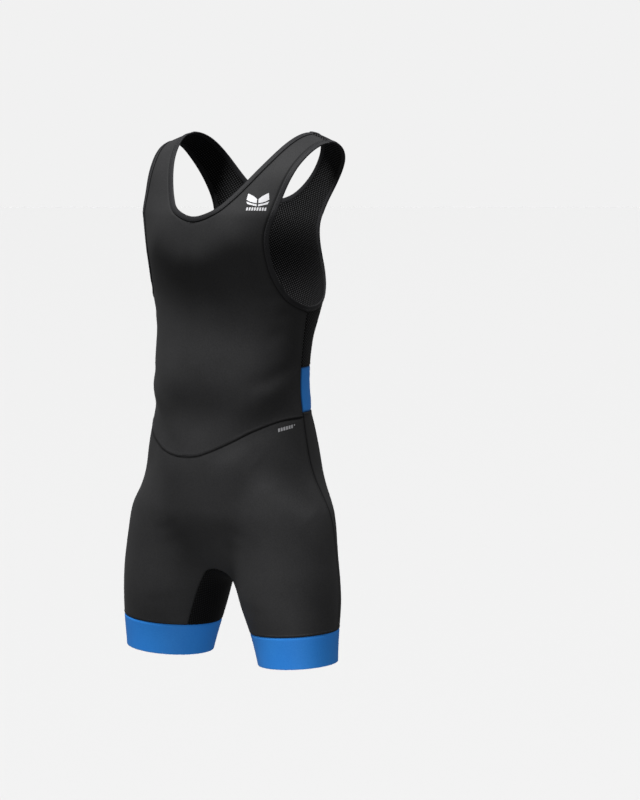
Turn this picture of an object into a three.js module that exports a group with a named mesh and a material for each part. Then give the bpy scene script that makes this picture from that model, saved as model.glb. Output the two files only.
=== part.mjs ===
// Wrestling singlet, filled out as worn, with no wearer inside.
// Millimetres, +Z up, the front faces -Y, the wearer's left is +X.
// The origin is midway between the shoulder straps, at the height where they rest.
//
// A smooth form, worked out from a few rings, stands for the hollow inside the cloth.
// Seams, necklines and hems are lines laid on that form; every panel is a sheet stretched
// between its own seams, and becomes a closed wall of cloth.
import * as THREE from "three";

// ---------------------------------------------------------------- cloth
const KNIT = 1.4; // wall of the smooth knit and of the mesh
const BAND = 1.6; // wall of the waistband
const CUFF = 1.8; // folded leg cuff
const BINDING = 2.6; // folded strip round the neck and the armholes
const BINDING_WIDTH = 8;
const SEAM_GAP = 0.3; // clear distance between neighbours
const PRINT_LIFT = 1.2; // inner face of a print, measured from the middle of the cloth
const PRINT = 0.4; // wall of a print
const LABEL_LIFT = 1.4;
const LABEL = 0.8; // wall of the neck label

// ---------------------------------------------------------------- levels
const BAND_TOP = -366;
const BAND_BOTTOM = -437;
const CUFF_TOP = -788;
const CUFF_HEIGHT = 52;
const CHEST_LINE = -212; // below it a torso panel spans the side, above it the strap
const CUFF_SLOPE = 0.08; // the leg openings stay square to the spread legs
const LEG_CENTRE = 119;

// ---------------------------------------------------------------- form
// Height, half width, front depth, front roundness, back depth, back roundness, centre.
const TRUNK = [
  [20, 300, 112, 2.1, 130, 2.2, 60],
  [-30, 285, 112, 2.1, 129, 2.2, 43],
  [-62, 240, 112, 2.1, 125, 2.2, 32],
  [-95, 190, 112, 2.1, 118, 2.25, 21],
  [-130, 163, 113, 2.1, 113, 2.3, 9],
  [-190, 150, 110, 2.1, 119, 2.4, 5],
  [-241, 146, 99, 2.05, 123, 2.4, 7],
  [-318, 134, 92, 2.1, 107, 2.2, 3],
  [-366, 132, 100, 2.2, 99, 2.1, 0],
  [-405, 134, 103, 2.2, 98, 2.1, -2],
  [-440, 138, 100, 2.1, 100, 2.1, -2],
  [-500, 147, 104, 2.1, 107, 2.2, 0],
  [-550, 157, 105, 2.2, 109, 2.2, 0],
  [-600, 168, 102, 2.2, 110, 2.2, 0],
  [-660, 174, 94, 2.2, 102, 2.2, 0],
  [-720, 170, 88, 2.2, 92, 2.2, 0],
];
const SHOULDER_BASE = -128; // the form closes over the shoulders from here up
const SHOULDER_RISE = 146;
const SHOULDER_SOFTNESS = 0.2;
const CROTCH_BASE = -590; // and closes under the crotch from here down
const CROTCH_DROP = 120;
// Height, distance of the leg's axis from the middle, long and short half width.
const THIGH = [
  [-500, 72, 70, 66],
  [-560, 82, 78, 74],
  [-620, 93, 87, 82],
  [-690, 104, 91, 83],
  [-745, 112, 87, 79],
  [-790, 119, 80, 69.5],
  [-835, 125, 72, 63],
  [-880, 131, 67, 59],
];
const THIGH_TURN = THREE.MathUtils.degToRad(35);
const THIGH_BASE = -600;
const THIGH_RISE = 90;
const CROTCH_BLEND = 40;
const TRUNK_REACH = 105; // turns a ring's ratio into millimetres
const THIGH_REACH = 82;
const TRUNK_START = [130, 100]; // where the search for a line round the trunk starts
const LEG_START = 75; // and for a line round a leg
// Soft troughs: from, to, half width, depth.
const TROUGHS = [
  [[128, -46, -400], [78, -90, -446], 20, 4],
  [[104, -84, -500], [52, -72, -640], 26, 4],
  [[-104, -84, -500], [-52, -72, -640], 26, 4],
  [[36, 100, -652], [108, 84, -668], 26, 3],
  [[-36, 100, -652], [-108, 84, -668], 26, 3],
];

// ---------------------------------------------------------------- lines of the garment
// Points near the form, which the lines are then laid on. The wearer's left side.
const NECK_FRONT = [[0, -106, -127], [35, -98, -116], [54, -80, -98], [85, -35, -51], [98, -5, -27]];
const NECK_TOP = [112, 52, 2];
const NECK_BACK = [[106, 83, -10], [88, 105, -38], [58, 117, -74], [28, 121, -97], [0, 122, -104]];
const ARM_TOP = [153, 48, -18];
const ARM_FRONT = [
  [146, -17, -40], [140, -33, -62], [133, -49, -94], [124, -74, -156],
  [121, -62, -202], [127, -50, -230], [137, -35, -252],
];
const ARM_BOTTOM = [144, 6, -269];
const ARM_BACK = [
  [137, 52, -263], [121, 86, -237], [110, 97, -200], [105, 98, -165],
  [107, 101, -123], [120, 105, -92], [146, 97, -46],
];
const SIDE_SEAM = [
  ARM_BOTTOM, [131, 4, -340], [134, -2, -400], [139, -2, -440], [148, 0, -516],
  [166, 15, -611], [178, 20, -680], [185, 20, -717], [190, 10, -790], [196, 8, -845],
];
// The front seam, from the wearer's right side to the left; its belly hangs a little to the right.
const FRONT_SEAM = [
  [-140, -2, -444], [-128, -40, -466], [-108, -58, -483], [-80, -78, -498], [-37, -96, -508],
  [0, -98, -507], [21, -98, -500], [63, -92, -480], [95, -80, -463], [122, -50, -449], [140, -2, -444],
];
const FRONT_SEAM_MIDDLE = 5;
const GUSSET_FRONT = [
  [0, -38, -676], [22, -38, -688], [33, -40, -712], [43, -44, -747], [55, -44, -790], [62, -44, -830],
];
const GUSSET_BACK = [
  [0, 34, -690], [22, 36, -702], [33, 38, -720], [43, 38, -750], [55, 38, -790], [62, 38, -830],
];
const CHEST = [0, -100, CHEST_LINE];
const SHOULDER_BLADES = [0, 110, CHEST_LINE];

// ---------------------------------------------------------------- prints and label
// Place near the form, width, height, and the direction that the width runs in.
const CHEST_PRINT = { at: [97, -66, -108], width: 38, height: 30, along: [1, 0.45, 0] };
const BACK_PRINT = { at: [0, 100, -345], width: 34, height: 28, along: [-1, 0, 0] };
const HIP_PRINT = { at: [132, -38, -458], width: 36, height: 6, along: [13, 33, 6] };
const NECK_LABEL = { at: [0, 120, -119], width: 28, height: 9, along: [-1, 0, 0] };
const BAND_BLOCKS = 7; // slanted blocks across the waistband
const BAND_BLOCK = { width: 30, height: 44, pitch: 38, slant: 10 };

// ---------------------------------------------------------------- grid
const COLUMNS = 10; // across half a panel
const SIDE_ROWS = { hip: 1, band: 4, flank: 6, leg: 20 };
const ARM_ROWS = 20; // along the front or the back of an armhole
const ARM_FLOOR = 5; // those of them that form the armhole's floor
const NECK_FRONT_ROWS = 12;
const NECK_BACK_ROWS = 11;
const GUSSET_ROWS = 8;
const GUSSET_COLUMNS = 6;
const CUFF_ROWS = 3;
const BAND_MARKS = 100; // fine marks along half the waistband, from which the blocks are placed
const STEPS = 24; // fine steps between two points of a line
const RELAX_ROUNDS = 10;

// ---------------------------------------------------------------- finishes
const FINISH = {
  knit: { color: "#2f2f31", roughness: 0.62, metalness: 0 },
  mesh: { color: "#141416", roughness: 0.8, metalness: 0 },
  blue: { color: "#2f78cc", roughness: 0.6, metalness: 0 },
  binding: { color: "#37373a", roughness: 0.6, metalness: 0 },
  white: { color: "#f2f2f6", roughness: 0.5, metalness: 0 },
  navy: { color: "#22509a", roughness: 0.55, metalness: 0 },
  grey: { color: "#a5a5a8", roughness: 0.5, metalness: 0 },
  label: { color: "#0c0c0e", roughness: 0.5, metalness: 0 },
};

// ================================================================ form

/** Natural cubic spline through rows of [height, value, value...]. */
function ringSpline(rows) {
  const sorted = [...rows].reverse();
  const height = sorted.map((row) => row[0]);
  const last = sorted.length - 1;
  const columns = sorted[0].length - 1;
  const bend = Array.from({ length: columns }, (_, k) => {
    const upper = new Array(last + 1).fill(0);
    const right = new Array(last + 1).fill(0);
    for (let i = 1; i < last; i++) {
      const before = height[i] - height[i - 1];
      const after = height[i + 1] - height[i];
      const rise = (sorted[i + 1][k + 1] - sorted[i][k + 1]) / after;
      const fall = (sorted[i][k + 1] - sorted[i - 1][k + 1]) / before;
      const pivot = 2 * (before + after) - before * upper[i - 1];
      upper[i] = after / pivot;
      right[i] = (6 * (rise - fall) - before * right[i - 1]) / pivot;
    }
    for (let i = last - 1; i > 0; i--) right[i] -= upper[i] * right[i + 1];
    return right;
  });
  return (z) => {
    const at = THREE.MathUtils.clamp(z, height[0], height[last]);
    let i = 0;
    while (i < last - 1 && at > height[i + 1]) i++;
    const step = height[i + 1] - height[i];
    const a = (height[i + 1] - at) / step;
    const b = (at - height[i]) / step;
    return bend.map((curve, k) => a * sorted[i][k + 1] + b * sorted[i + 1][k + 1]
      + ((a ** 3 - a) * curve[i] + (b ** 3 - b) * curve[i + 1]) * step * step / 6);
  };
}

const trunkRing = ringSpline(TRUNK);
const thighRing = ringSpline(THIGH);

/** The torso: rings that close over the shoulders and under the crotch. */
function trunkForm(x, y, z) {
  const [half, front, frontRound, back, backRound, centre] = trunkRing(z);
  const depth = y < centre ? front : back;
  const power = y < centre ? frontRound : backRound;
  const rise = Math.max(0, (z - SHOULDER_BASE) / SHOULDER_RISE);
  const shoulder = rise * rise / (rise + SHOULDER_SOFTNESS) * (1 + SHOULDER_SOFTNESS);
  const crotch = Math.max(0, (CROTCH_BASE - z) / CROTCH_DROP) ** 2;
  const ring = Math.abs(x / half) ** power + Math.abs((y - centre) / depth) ** power;
  return ((ring + shoulder + crotch) ** (1 / power) - 1) * TRUNK_REACH;
}

/** One thigh: oval rings on a leaning axis, turned a little about it. */
function thighForm(x, y, z) {
  const [axis, long, short] = thighRing(z);
  const along = (x - axis) * Math.cos(THIGH_TURN) - y * Math.sin(THIGH_TURN);
  const across = (x - axis) * Math.sin(THIGH_TURN) + y * Math.cos(THIGH_TURN);
  const top = Math.max(0, (z - THIGH_BASE) / THIGH_RISE);
  return (Math.hypot(along / long, across / short, top) - 1) * THIGH_REACH;
}

/** The lesser of two forms, with a soft fillet where they meet. */
function softUnion(a, b) {
  const near = Math.max(0, CROTCH_BLEND - Math.abs(a - b)) / CROTCH_BLEND;
  return Math.min(a, b) - near ** 3 * CROTCH_BLEND / 6;
}

const troughs = TROUGHS.map(([from, to, width, depth]) => ({
  line: new THREE.Line3(new THREE.Vector3(...from), new THREE.Vector3(...to)), width, depth,
}));
const nearest = new THREE.Vector3();

/** Distance-like field: negative inside the wearer's space, zero in the middle of the cloth. */
function form(p) {
  const { x, y, z } = p;
  let value = softUnion(trunkForm(x, y, z), thighForm(x, y, z));
  value = softUnion(value, thighForm(-x, y, z));
  for (const { line, width, depth } of troughs) {
    line.closestPointToPoint(p, true, nearest);
    value += depth * Math.exp(-nearest.distanceToSquared(p) / width ** 2);
  }
  return value;
}

/** Slope of the form at a point. */
function slope(p) {
  const step = 0.5;
  const out = new THREE.Vector3();
  for (const axis of ["x", "y", "z"]) {
    const high = p.clone();
    const low = p.clone();
    high[axis] += step;
    low[axis] -= step;
    out[axis] = (form(high) - form(low)) / (2 * step);
  }
  return out;
}

/** Outward direction of the form at a point. */
const outward = (p) => slope(p).normalize();

/** Moves a point straight onto the form. */
function settle(p, rounds = 12) {
  const point = p.clone();
  for (let i = 0; i < rounds; i++) {
    const gradient = slope(point);
    const steep = gradient.length() + 1e-9;
    const step = THREE.MathUtils.clamp(form(point) / steep, -25, 25);
    point.addScaledVector(gradient, -step / steep);
  }
  return point;
}

// ================================================================ lines

const mirror = (p) => new THREE.Vector3(-p.x, p.y, p.z);
const mirrorAll = (line) => line.map(mirror);

/** Fine points along a smooth curve, STEPS for each stretch between two given points. */
function strand(points, closed = false) {
  const vectors = points.map((p) => new THREE.Vector3(...p));
  const curve = new THREE.CatmullRomCurve3(vectors, closed, "centripetal");
  return curve.getPoints(STEPS * (closed ? vectors.length : vectors.length - 1)).map((p) => settle(p));
}

/** Points at equal distances along a stretch of fine points. */
function evenly(fine, count) {
  const distance = [0];
  for (let i = 1; i < fine.length; i++) distance.push(distance[i - 1] + fine[i].distanceTo(fine[i - 1]));
  const total = distance[distance.length - 1];
  const out = [];
  let i = 1;
  for (let k = 0; k <= count; k++) {
    const goal = total * k / count;
    while (i < fine.length - 1 && distance[i] < goal) i++;
    const t = (goal - distance[i - 1]) / (distance[i] - distance[i - 1]);
    out.push(settle(fine[i - 1].clone().lerp(fine[i], t)));
  }
  return out;
}

/** The stretch of a falling line between two heights. */
function between(fine, top, bottom) {
  const cross = (z) => {
    const i = fine.findIndex((p) => p.z < z);
    const t = (fine[i - 1].z - z) / (fine[i - 1].z - fine[i].z);
    return [i, fine[i - 1].clone().lerp(fine[i], t)];
  };
  const [first, start] = cross(top);
  const [last, end] = cross(bottom);
  return [start, ...fine.slice(first, last), end];
}

/** A line shifted along the cloth, square to its own run; a positive shift goes to its left. */
function shifted(line, distance, closed) {
  const n = line.length;
  return line.map((p, i) => {
    const before = line[closed ? (i + n - 1) % n : Math.max(0, i - 1)];
    const after = line[closed ? (i + 1) % n : Math.min(n - 1, i + 1)];
    const side = outward(p).cross(after.clone().sub(before)).normalize();
    return settle(p.clone().addScaledVector(side, distance));
  });
}

/** A straight run over the form between two points. */
function run(from, to, count) {
  const fine = Array.from({ length: STEPS + 1 }, (_, i) => settle(from.clone().lerp(to, i / STEPS)));
  return evenly(fine, count);
}

/** A line round the form at one height, from the middle to the side. */
function level(z, side, front, count) {
  const fine = [];
  const end = Math.atan2(side.y, side.x);
  const start = front ? -Math.PI / 2 : Math.PI / 2;
  for (let i = 0; i <= STEPS * 2; i++) {
    const angle = start + (end - start) * i / (STEPS * 2);
    const p = new THREE.Vector3(TRUNK_START[0] * Math.cos(angle), TRUNK_START[1] * Math.sin(angle), z);
    fine.push(atHeight(p, () => z));
  }
  fine[fine.length - 1] = side.clone();
  return evenly(fine, count).map((p) => atHeight(p, () => z));
}

/** Settles a point on the form at a height that depends on where it is. */
function atHeight(p, height) {
  const point = p.clone();
  for (let i = 0; i < 8; i++) {
    point.z = height(point);
    const gradient = slope(point).setZ(0);
    const steep = gradient.length() + 1e-9;
    const step = THREE.MathUtils.clamp(form(point) / steep, -25, 25);
    point.addScaledVector(gradient, -step / steep);
  }
  return point;
}

/** Height of a leg opening's line, which leans with the leg. */
const legLevel = (drop) => (p) => CUFF_TOP + CUFF_SLOPE * (Math.abs(p.x) - LEG_CENTRE) - drop;

/** A stretch of the line round the left leg, by angle about the leg's axis. */
function legLine(from, to, drop, count) {
  const angleOf = (p) => Math.atan2(p.y, p.x - LEG_CENTRE);
  let start = angleOf(from);
  let end = angleOf(to);
  if (start - end > Math.PI) end += 2 * Math.PI;
  if (end - start > Math.PI) start += 2 * Math.PI;
  const fine = Array.from({ length: STEPS + 1 }, (_, i) => {
    const angle = start + (end - start) * i / STEPS;
    const x = LEG_CENTRE + LEG_START * Math.cos(angle);
    return atHeight(new THREE.Vector3(x, LEG_START * Math.sin(angle), CUFF_TOP), legLevel(drop));
  });
  fine[0] = from.clone();
  fine[STEPS] = to.clone();
  return evenly(fine, count).map((p) => atHeight(p, legLevel(drop)));
}

/** The part of a falling line above the leg opening, ending exactly on it. */
function downToCuff(fine) {
  const height = legLevel(0);
  const i = fine.findIndex((p) => p.z < height(p));
  const gap = (p) => p.z - height(p);
  const t = gap(fine[i - 1]) / (gap(fine[i - 1]) - gap(fine[i]));
  const end = atHeight(fine[i - 1].clone().lerp(fine[i], t), height);
  return [...fine.slice(0, i), end];
}

// ---------------------------------------------------------------- the garment's lines, left side

const reversed = (line) => [...line].reverse();
const swap = (p) => [-p[0], p[1], p[2]];

// Neck: one closed strand, from the front middle over the left strap, and back over the right.
const neckPoints = [...NECK_FRONT, NECK_TOP, ...NECK_BACK];
const neckLoopPoints = [...neckPoints, ...reversed(neckPoints).slice(1, -1).map(swap)];
const neckFine = strand(neckLoopPoints, true);
const topOfNeck = NECK_FRONT.length * STEPS;
const backOfNeck = (neckPoints.length - 1) * STEPS;
const neckFrontEdge = evenly(neckFine.slice(0, topOfNeck + 1), NECK_FRONT_ROWS);
const neckBackEdge = evenly(neckFine.slice(topOfNeck, backOfNeck + 1), NECK_BACK_ROWS);
const neckHalf = [...neckFrontEdge, ...neckBackEdge.slice(1)];
const neckLoop = [...neckHalf, ...mirrorAll(reversed(neckHalf).slice(1, -1))];
const neckSeam = shifted(neckLoop, -BINDING_WIDTH, true);
neckSeam[0].x = 0;
neckSeam[neckHalf.length - 1].x = 0;
const neckFront = neckSeam.slice(0, NECK_FRONT_ROWS + 1);
const neckBack = neckSeam.slice(NECK_FRONT_ROWS, neckHalf.length);

// Side seam, from the armhole down to the leg cuff.
const sideFine = strand(SIDE_SEAM);
let first = 0;
while (sideFine[first].distanceTo(sideFine[0]) < BINDING_WIDTH) first++;
const seamEnd = FRONT_SEAM[0][2];
const flank = evenly([...sideFine.slice(first, sideFine.findIndex((p) => p.z < BAND_TOP)),
  between(sideFine, BAND_TOP, BAND_TOP - 1)[0]], SIDE_ROWS.flank);
const bandEnd = evenly(between(sideFine, BAND_TOP, BAND_BOTTOM), SIDE_ROWS.band);
const hip = evenly(between(sideFine, BAND_BOTTOM, seamEnd), SIDE_ROWS.hip);
const legFine = downToCuff(sideFine);
const legSide = evenly([hip[hip.length - 1], ...legFine.filter((p) => p.z < seamEnd - 1)], SIDE_ROWS.leg);
bandEnd[0] = flank[flank.length - 1].clone();
hip[0] = bandEnd[bandEnd.length - 1].clone();

// Armhole: one closed strand, from the top of the strap down the front and up the back.
const armFine = strand([ARM_TOP, ...ARM_FRONT, ARM_BOTTOM, ...ARM_BACK], true);
const bottomOfArm = (ARM_FRONT.length + 1) * STEPS;
const armFrontEdge = evenly(armFine.slice(0, bottomOfArm + 1), ARM_ROWS);
const armBackEdge = evenly(armFine.slice(bottomOfArm), ARM_ROWS);
const armLoop = [...armFrontEdge.slice(0, -1), ...armBackEdge.slice(0, -1)];
const armSeam = shifted(armLoop, -BINDING_WIDTH, true);
armSeam[ARM_ROWS] = flank[0].clone();
const armFront = armSeam.slice(0, ARM_ROWS + 1);
const armBack = [...armSeam.slice(ARM_ROWS), armSeam[0].clone()];

const shoulderSeam = run(neckFront[NECK_FRONT_ROWS], armSeam[0], COLUMNS - ARM_FLOOR);
const bandTopLine = level(BAND_TOP, bandEnd[0], false, COLUMNS);
const bandBottomLine = level(BAND_BOTTOM, hip[0], false, COLUMNS);

// Front seam, its left half and its right half seen in a mirror.
const frontSeamFine = strand(FRONT_SEAM);
const seamMiddle = FRONT_SEAM_MIDDLE * STEPS;
const frontSeam = {
  left: evenly(frontSeamFine.slice(seamMiddle), COLUMNS),
  right: mirrorAll(evenly(reversed(frontSeamFine.slice(0, seamMiddle + 1)), COLUMNS)),
};
for (const half of Object.values(frontSeam)) {
  half[0].x = 0;
  half[COLUMNS] = hip[hip.length - 1].clone();
}

// Gusset edges, from the middle of the crotch down to the cuff.
const gussetEdge = (points) => {
  const whole = strand([...reversed(points).slice(0, -1).map(swap), ...points]);
  return evenly(downToCuff(whole.slice((points.length - 1) * STEPS)), GUSSET_ROWS);
};
const gussetFront = gussetEdge(GUSSET_FRONT);
const gussetBack = gussetEdge(GUSSET_BACK);
gussetFront[0].x = 0;
gussetBack[0].x = 0;
const cuffCorner = {
  side: legSide[SIDE_ROWS.leg],
  front: gussetFront[GUSSET_ROWS],
  back: gussetBack[GUSSET_ROWS],
};

/** The line round the left leg at a drop below the cuff's top: front, inside and back stretches. */
function legRound(drop) {
  const at = (corner) => (drop === 0 ? corner.clone() : atHeight(corner, legLevel(drop)));
  const side = at(cuffCorner.side);
  const front = at(cuffCorner.front);
  const back = at(cuffCorner.back);
  return {
    front: legLine(front, side, drop, COLUMNS),
    inside: legLine(front, back, drop, GUSSET_COLUMNS),
    back: legLine(back, side, drop, COLUMNS),
  };
}
const cuffTop = legRound(0);

// ================================================================ sheets

/** A grid of points stretched between four seams, each row and column evened out on the form. */
function stretched({ bottom, top, inner, outer }) {
  const columns = bottom.length - 1;
  const rows = inner.length - 1;
  const grid = [];
  for (let j = 0; j <= rows; j++) {
    grid.push([]);
    const v = j / rows;
    for (let i = 0; i <= columns; i++) {
      const u = i / columns;
      const p = new THREE.Vector3();
      p.addScaledVector(bottom[i], 1 - v).addScaledVector(top[i], v);
      p.addScaledVector(inner[j], 1 - u).addScaledVector(outer[j], u);
      p.addScaledVector(bottom[0], -(1 - u) * (1 - v)).addScaledVector(bottom[columns], -u * (1 - v));
      p.addScaledVector(top[0], -(1 - u) * v).addScaledVector(top[columns], -u * v);
      const edge = i === 0 || j === 0 || i === columns || j === rows;
      grid[j].push(edge ? p : settle(p));
    }
  }
  for (let round = 0; round < RELAX_ROUNDS; round++) {
    for (let j = 1; j < rows; j++) {
      for (let i = 1; i < columns; i++) {
        const mean = grid[j][i - 1].clone().add(grid[j][i + 1]).add(grid[j - 1][i]).add(grid[j + 1][i]);
        grid[j][i] = settle(mean.multiplyScalar(0.25), 3);
      }
    }
  }
  return grid;
}

/** A sheet of quads; points that share a place are one point. */
class Sheet {
  constructor() {
    this.points = [];
    this.quads = [];
    this.known = new Map();
  }

  add(p) {
    const key = [p.x, p.y, p.z].map((value) => Math.round(value * 1000) || 0).join();
    if (!this.known.has(key)) {
      this.known.set(key, this.points.length);
      this.points.push(p.clone());
    }
    return this.known.get(key);
  }

  /** Adds a grid; a flipped grid is the mirror image, with its faces turned back out. */
  grid(grid, flip = false) {
    const index = grid.map((row) => row.map((p) => this.add(flip ? mirror(p) : p)));
    for (let j = 0; j + 1 < index.length; j++) {
      for (let i = 0; i + 1 < index[j].length; i++) {
        const quad = [index[j][i], index[j][i + 1], index[j + 1][i + 1], index[j + 1][i]];
        this.quads.push(flip ? quad.reverse() : quad);
      }
    }
    return this;
  }

  /** Turns every face the other way. */
  turned() {
    this.quads.forEach((quad) => quad.reverse());
    return this;
  }
}

/** Edges that only one quad has, as a map from each point to the next along the edge. */
function openEdges(quads) {
  const seen = new Map();
  for (const quad of quads) {
    quad.forEach((a, k) => {
      const b = quad[(k + 1) % 4];
      if (seen.has(`${b},${a}`)) seen.delete(`${b},${a}`);
      else seen.set(`${a},${b}`, [a, b]);
    });
  }
  return [...seen.values()];
}

/** Gives a sheet its thickness: a closed wall from one distance to another, measured outward. */
function wall(sheet, low, high, gap = SEAM_GAP) {
  const edges = openEdges(sheet.quads);
  const normals = sheet.points.map(outward);
  const pull = sheet.points.map(() => new THREE.Vector3());
  for (const [a, b] of edges) {
    const along = sheet.points[b].clone().sub(sheet.points[a]);
    for (const k of [a, b]) pull[k].add(normals[k].clone().cross(along).normalize());
  }
  const points = sheet.points.map((p, k) => {
    const size = pull[k].length();
    return size > 0 ? p.clone().addScaledVector(pull[k], gap / 2 / size) : p;
  });
  const count = points.length;
  const position = [];
  for (const distance of [high, low]) {
    points.forEach((p, k) => position.push(...p.clone().addScaledVector(normals[k], distance)));
  }
  const index = [];
  const quad = (a, b, c, d) => index.push(a, b, c, a, c, d);
  for (const [a, b, c, d] of sheet.quads) {
    quad(a, b, c, d);
    quad(d + count, c + count, b + count, a + count);
  }
  for (const [a, b] of edges) quad(b, a, a + count, b + count);
  const geometry = new THREE.BufferGeometry();
  geometry.setAttribute("position", new THREE.Float32BufferAttribute(position, 3));
  geometry.setIndex(index);
  geometry.computeVertexNormals();
  return geometry;
}

const garment = new THREE.Group();

/** One piece of the garment: a named mesh with its own finish. */
function piece(name, geometry, finish) {
  const mesh = new THREE.Mesh(geometry, new THREE.MeshStandardMaterial(FINISH[finish]));
  mesh.name = name;
  garment.add(mesh);
}

const middle = (from, to, count) => {
  const line = run(from, to, count);
  line.forEach((p) => { p.x = 0; });
  return line.map((p) => settle(p));
};

// ================================================================ torso

/** Half a torso panel: a lower grid up to the armhole's floor, and an upper one up to the strap. */
function torsoHalf({ bottom, side, arm, neck, middlePoint }) {
  const chest = settle(new THREE.Vector3(...middlePoint));
  const across = run(chest, arm[ARM_FLOOR], COLUMNS - ARM_FLOOR);
  const floor = reversed(arm.slice(0, ARM_FLOOR + 1));
  const lower = stretched({
    bottom, top: [...across, ...floor.slice(1)], outer: side,
    inner: middle(bottom[0], across[0], side.length - 1),
  });
  const outer = arm.slice(ARM_FLOOR);
  const centre = middle(across[0], neck[0], outer.length - neck.length);
  const upper = stretched({ bottom: across, top: shoulderSeam, outer, inner: [...centre, ...neck.slice(1)] });
  return [lower, upper];
}

function frontTorso() {
  const sheet = new Sheet();
  const side = [...reversed(hip), ...reversed(bandEnd).slice(1), ...reversed(flank).slice(1)];
  for (const [half, flip] of [["left", false], ["right", true]]) {
    const grids = torsoHalf({
      bottom: frontSeam[half], side, arm: reversed(armFront), neck: neckFront, middlePoint: CHEST,
    });
    grids.forEach((grid) => sheet.grid(grid, flip));
  }
  piece("front_torso", wall(sheet, -KNIT / 2, KNIT / 2), "knit");
}

function backTorso() {
  const sheet = new Sheet();
  const grids = torsoHalf({
    bottom: bandTopLine, side: reversed(flank), arm: armBack, neck: reversed(neckBack),
    middlePoint: SHOULDER_BLADES,
  });
  grids.forEach((grid) => sheet.grid(grid).grid(grid, true));
  piece("back_torso", wall(sheet.turned(), -KNIT / 2, KNIT / 2), "mesh");
}

function waistband() {
  const outer = reversed(bandEnd);
  const inner = middle(bandBottomLine[0], bandTopLine[0], SIDE_ROWS.band);
  const grid = stretched({ bottom: bandBottomLine, top: bandTopLine, inner, outer });
  const sheet = new Sheet().grid(grid).grid(grid, true).turned();
  piece("back_waistband", wall(sheet, -BAND / 2, BAND / 2), "blue");
}

// ================================================================ shorts

function frontShorts() {
  const sheet = new Sheet();
  for (const [half, flip] of [["left", false], ["right", true]]) {
    const centre = middle(gussetFront[0], frontSeam[half][0], SIDE_ROWS.leg - GUSSET_ROWS);
    const inner = [...reversed(gussetFront), ...centre.slice(1)];
    const grid = stretched({ bottom: cuffTop.front, top: frontSeam[half], inner, outer: reversed(legSide) });
    sheet.grid(grid, flip);
  }
  piece("front_shorts", wall(sheet, -KNIT / 2, KNIT / 2), "knit");
}

function backShorts() {
  const outer = [...reversed(legSide), ...reversed(hip).slice(1)];
  const centre = middle(gussetBack[0], bandBottomLine[0], outer.length - 1 - GUSSET_ROWS);
  const inner = [...reversed(gussetBack), ...centre.slice(1)];
  const grid = stretched({ bottom: cuffTop.back, top: bandBottomLine, inner, outer });
  const sheet = new Sheet().grid(grid).grid(grid, true).turned();
  piece("back_shorts", wall(sheet, -KNIT / 2, KNIT / 2), "knit");
}

function gusset() {
  const top = middle(gussetFront[0], gussetBack[0], GUSSET_COLUMNS);
  const grid = stretched({
    bottom: cuffTop.inside, top, inner: reversed(gussetFront), outer: reversed(gussetBack),
  });
  const sheet = new Sheet().grid(grid).grid(grid, true).turned();
  piece("gusset", wall(sheet, -KNIT / 2, KNIT / 2), "mesh");
}

function cuffs() {
  const rings = Array.from({ length: CUFF_ROWS + 1 }, (_, k) => {
    const { front, inside, back } = k === 0 ? cuffTop : legRound(CUFF_HEIGHT * k / CUFF_ROWS);
    return [...reversed(front), ...inside.slice(1), ...back.slice(1)];
  });
  for (const [name, flip] of [["cuff_left", false], ["cuff_right", true]]) {
    const sheet = new Sheet().grid(rings, flip);
    piece(name, wall(sheet, -CUFF / 2, CUFF / 2), "blue");
  }
}

// ================================================================ bindings

function neckBinding() {
  const close = (line) => [...line, line[0]];
  const sheet = new Sheet().grid([close(neckLoop), close(neckSeam)]).turned();
  piece("neck_binding", wall(sheet, -BINDING / 2, BINDING / 2), "binding");
}

function armholeBindings() {
  const close = (line) => [...line, line[0]];
  for (const [name, flip] of [["armhole_binding_left", false], ["armhole_binding_right", true]]) {
    const sheet = new Sheet().grid([close(armLoop), close(armSeam)], flip).turned();
    piece(name, wall(sheet, -BINDING / 2, BINDING / 2), "binding");
  }
}

// ================================================================ prints and label

/** A patch laid on the form round one place. */
function patch({ at, width, height, along }, columns, rows) {
  const centre = settle(new THREE.Vector3(...at));
  const normal = outward(centre);
  const right = new THREE.Vector3(...along).projectOnPlane(normal).normalize();
  const up = normal.clone().cross(right);
  return Array.from({ length: rows + 1 }, (_, j) => Array.from({ length: columns + 1 }, (_unused, i) => {
    const p = centre.clone().addScaledVector(right, width * (i / columns - 0.5));
    return settle(p.addScaledVector(up, height * (j / rows - 0.5)));
  }));
}

function printsAndLabel() {
  const film = (grid) => wall(new Sheet().grid(grid), PRINT_LIFT, PRINT_LIFT + PRINT, 0);
  piece("chest_print", film(patch(CHEST_PRINT, 4, 3)), "white");
  piece("back_print", film(patch(BACK_PRINT, 4, 3)), "white");
  piece("hip_print", film(patch(HIP_PRINT, 4, 1)), "grey");
  const label = new Sheet().grid(patch(NECK_LABEL, 6, 2));
  piece("neck_label", wall(label, LABEL_LIFT, LABEL_LIFT + LABEL, 0), "label");
}

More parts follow.
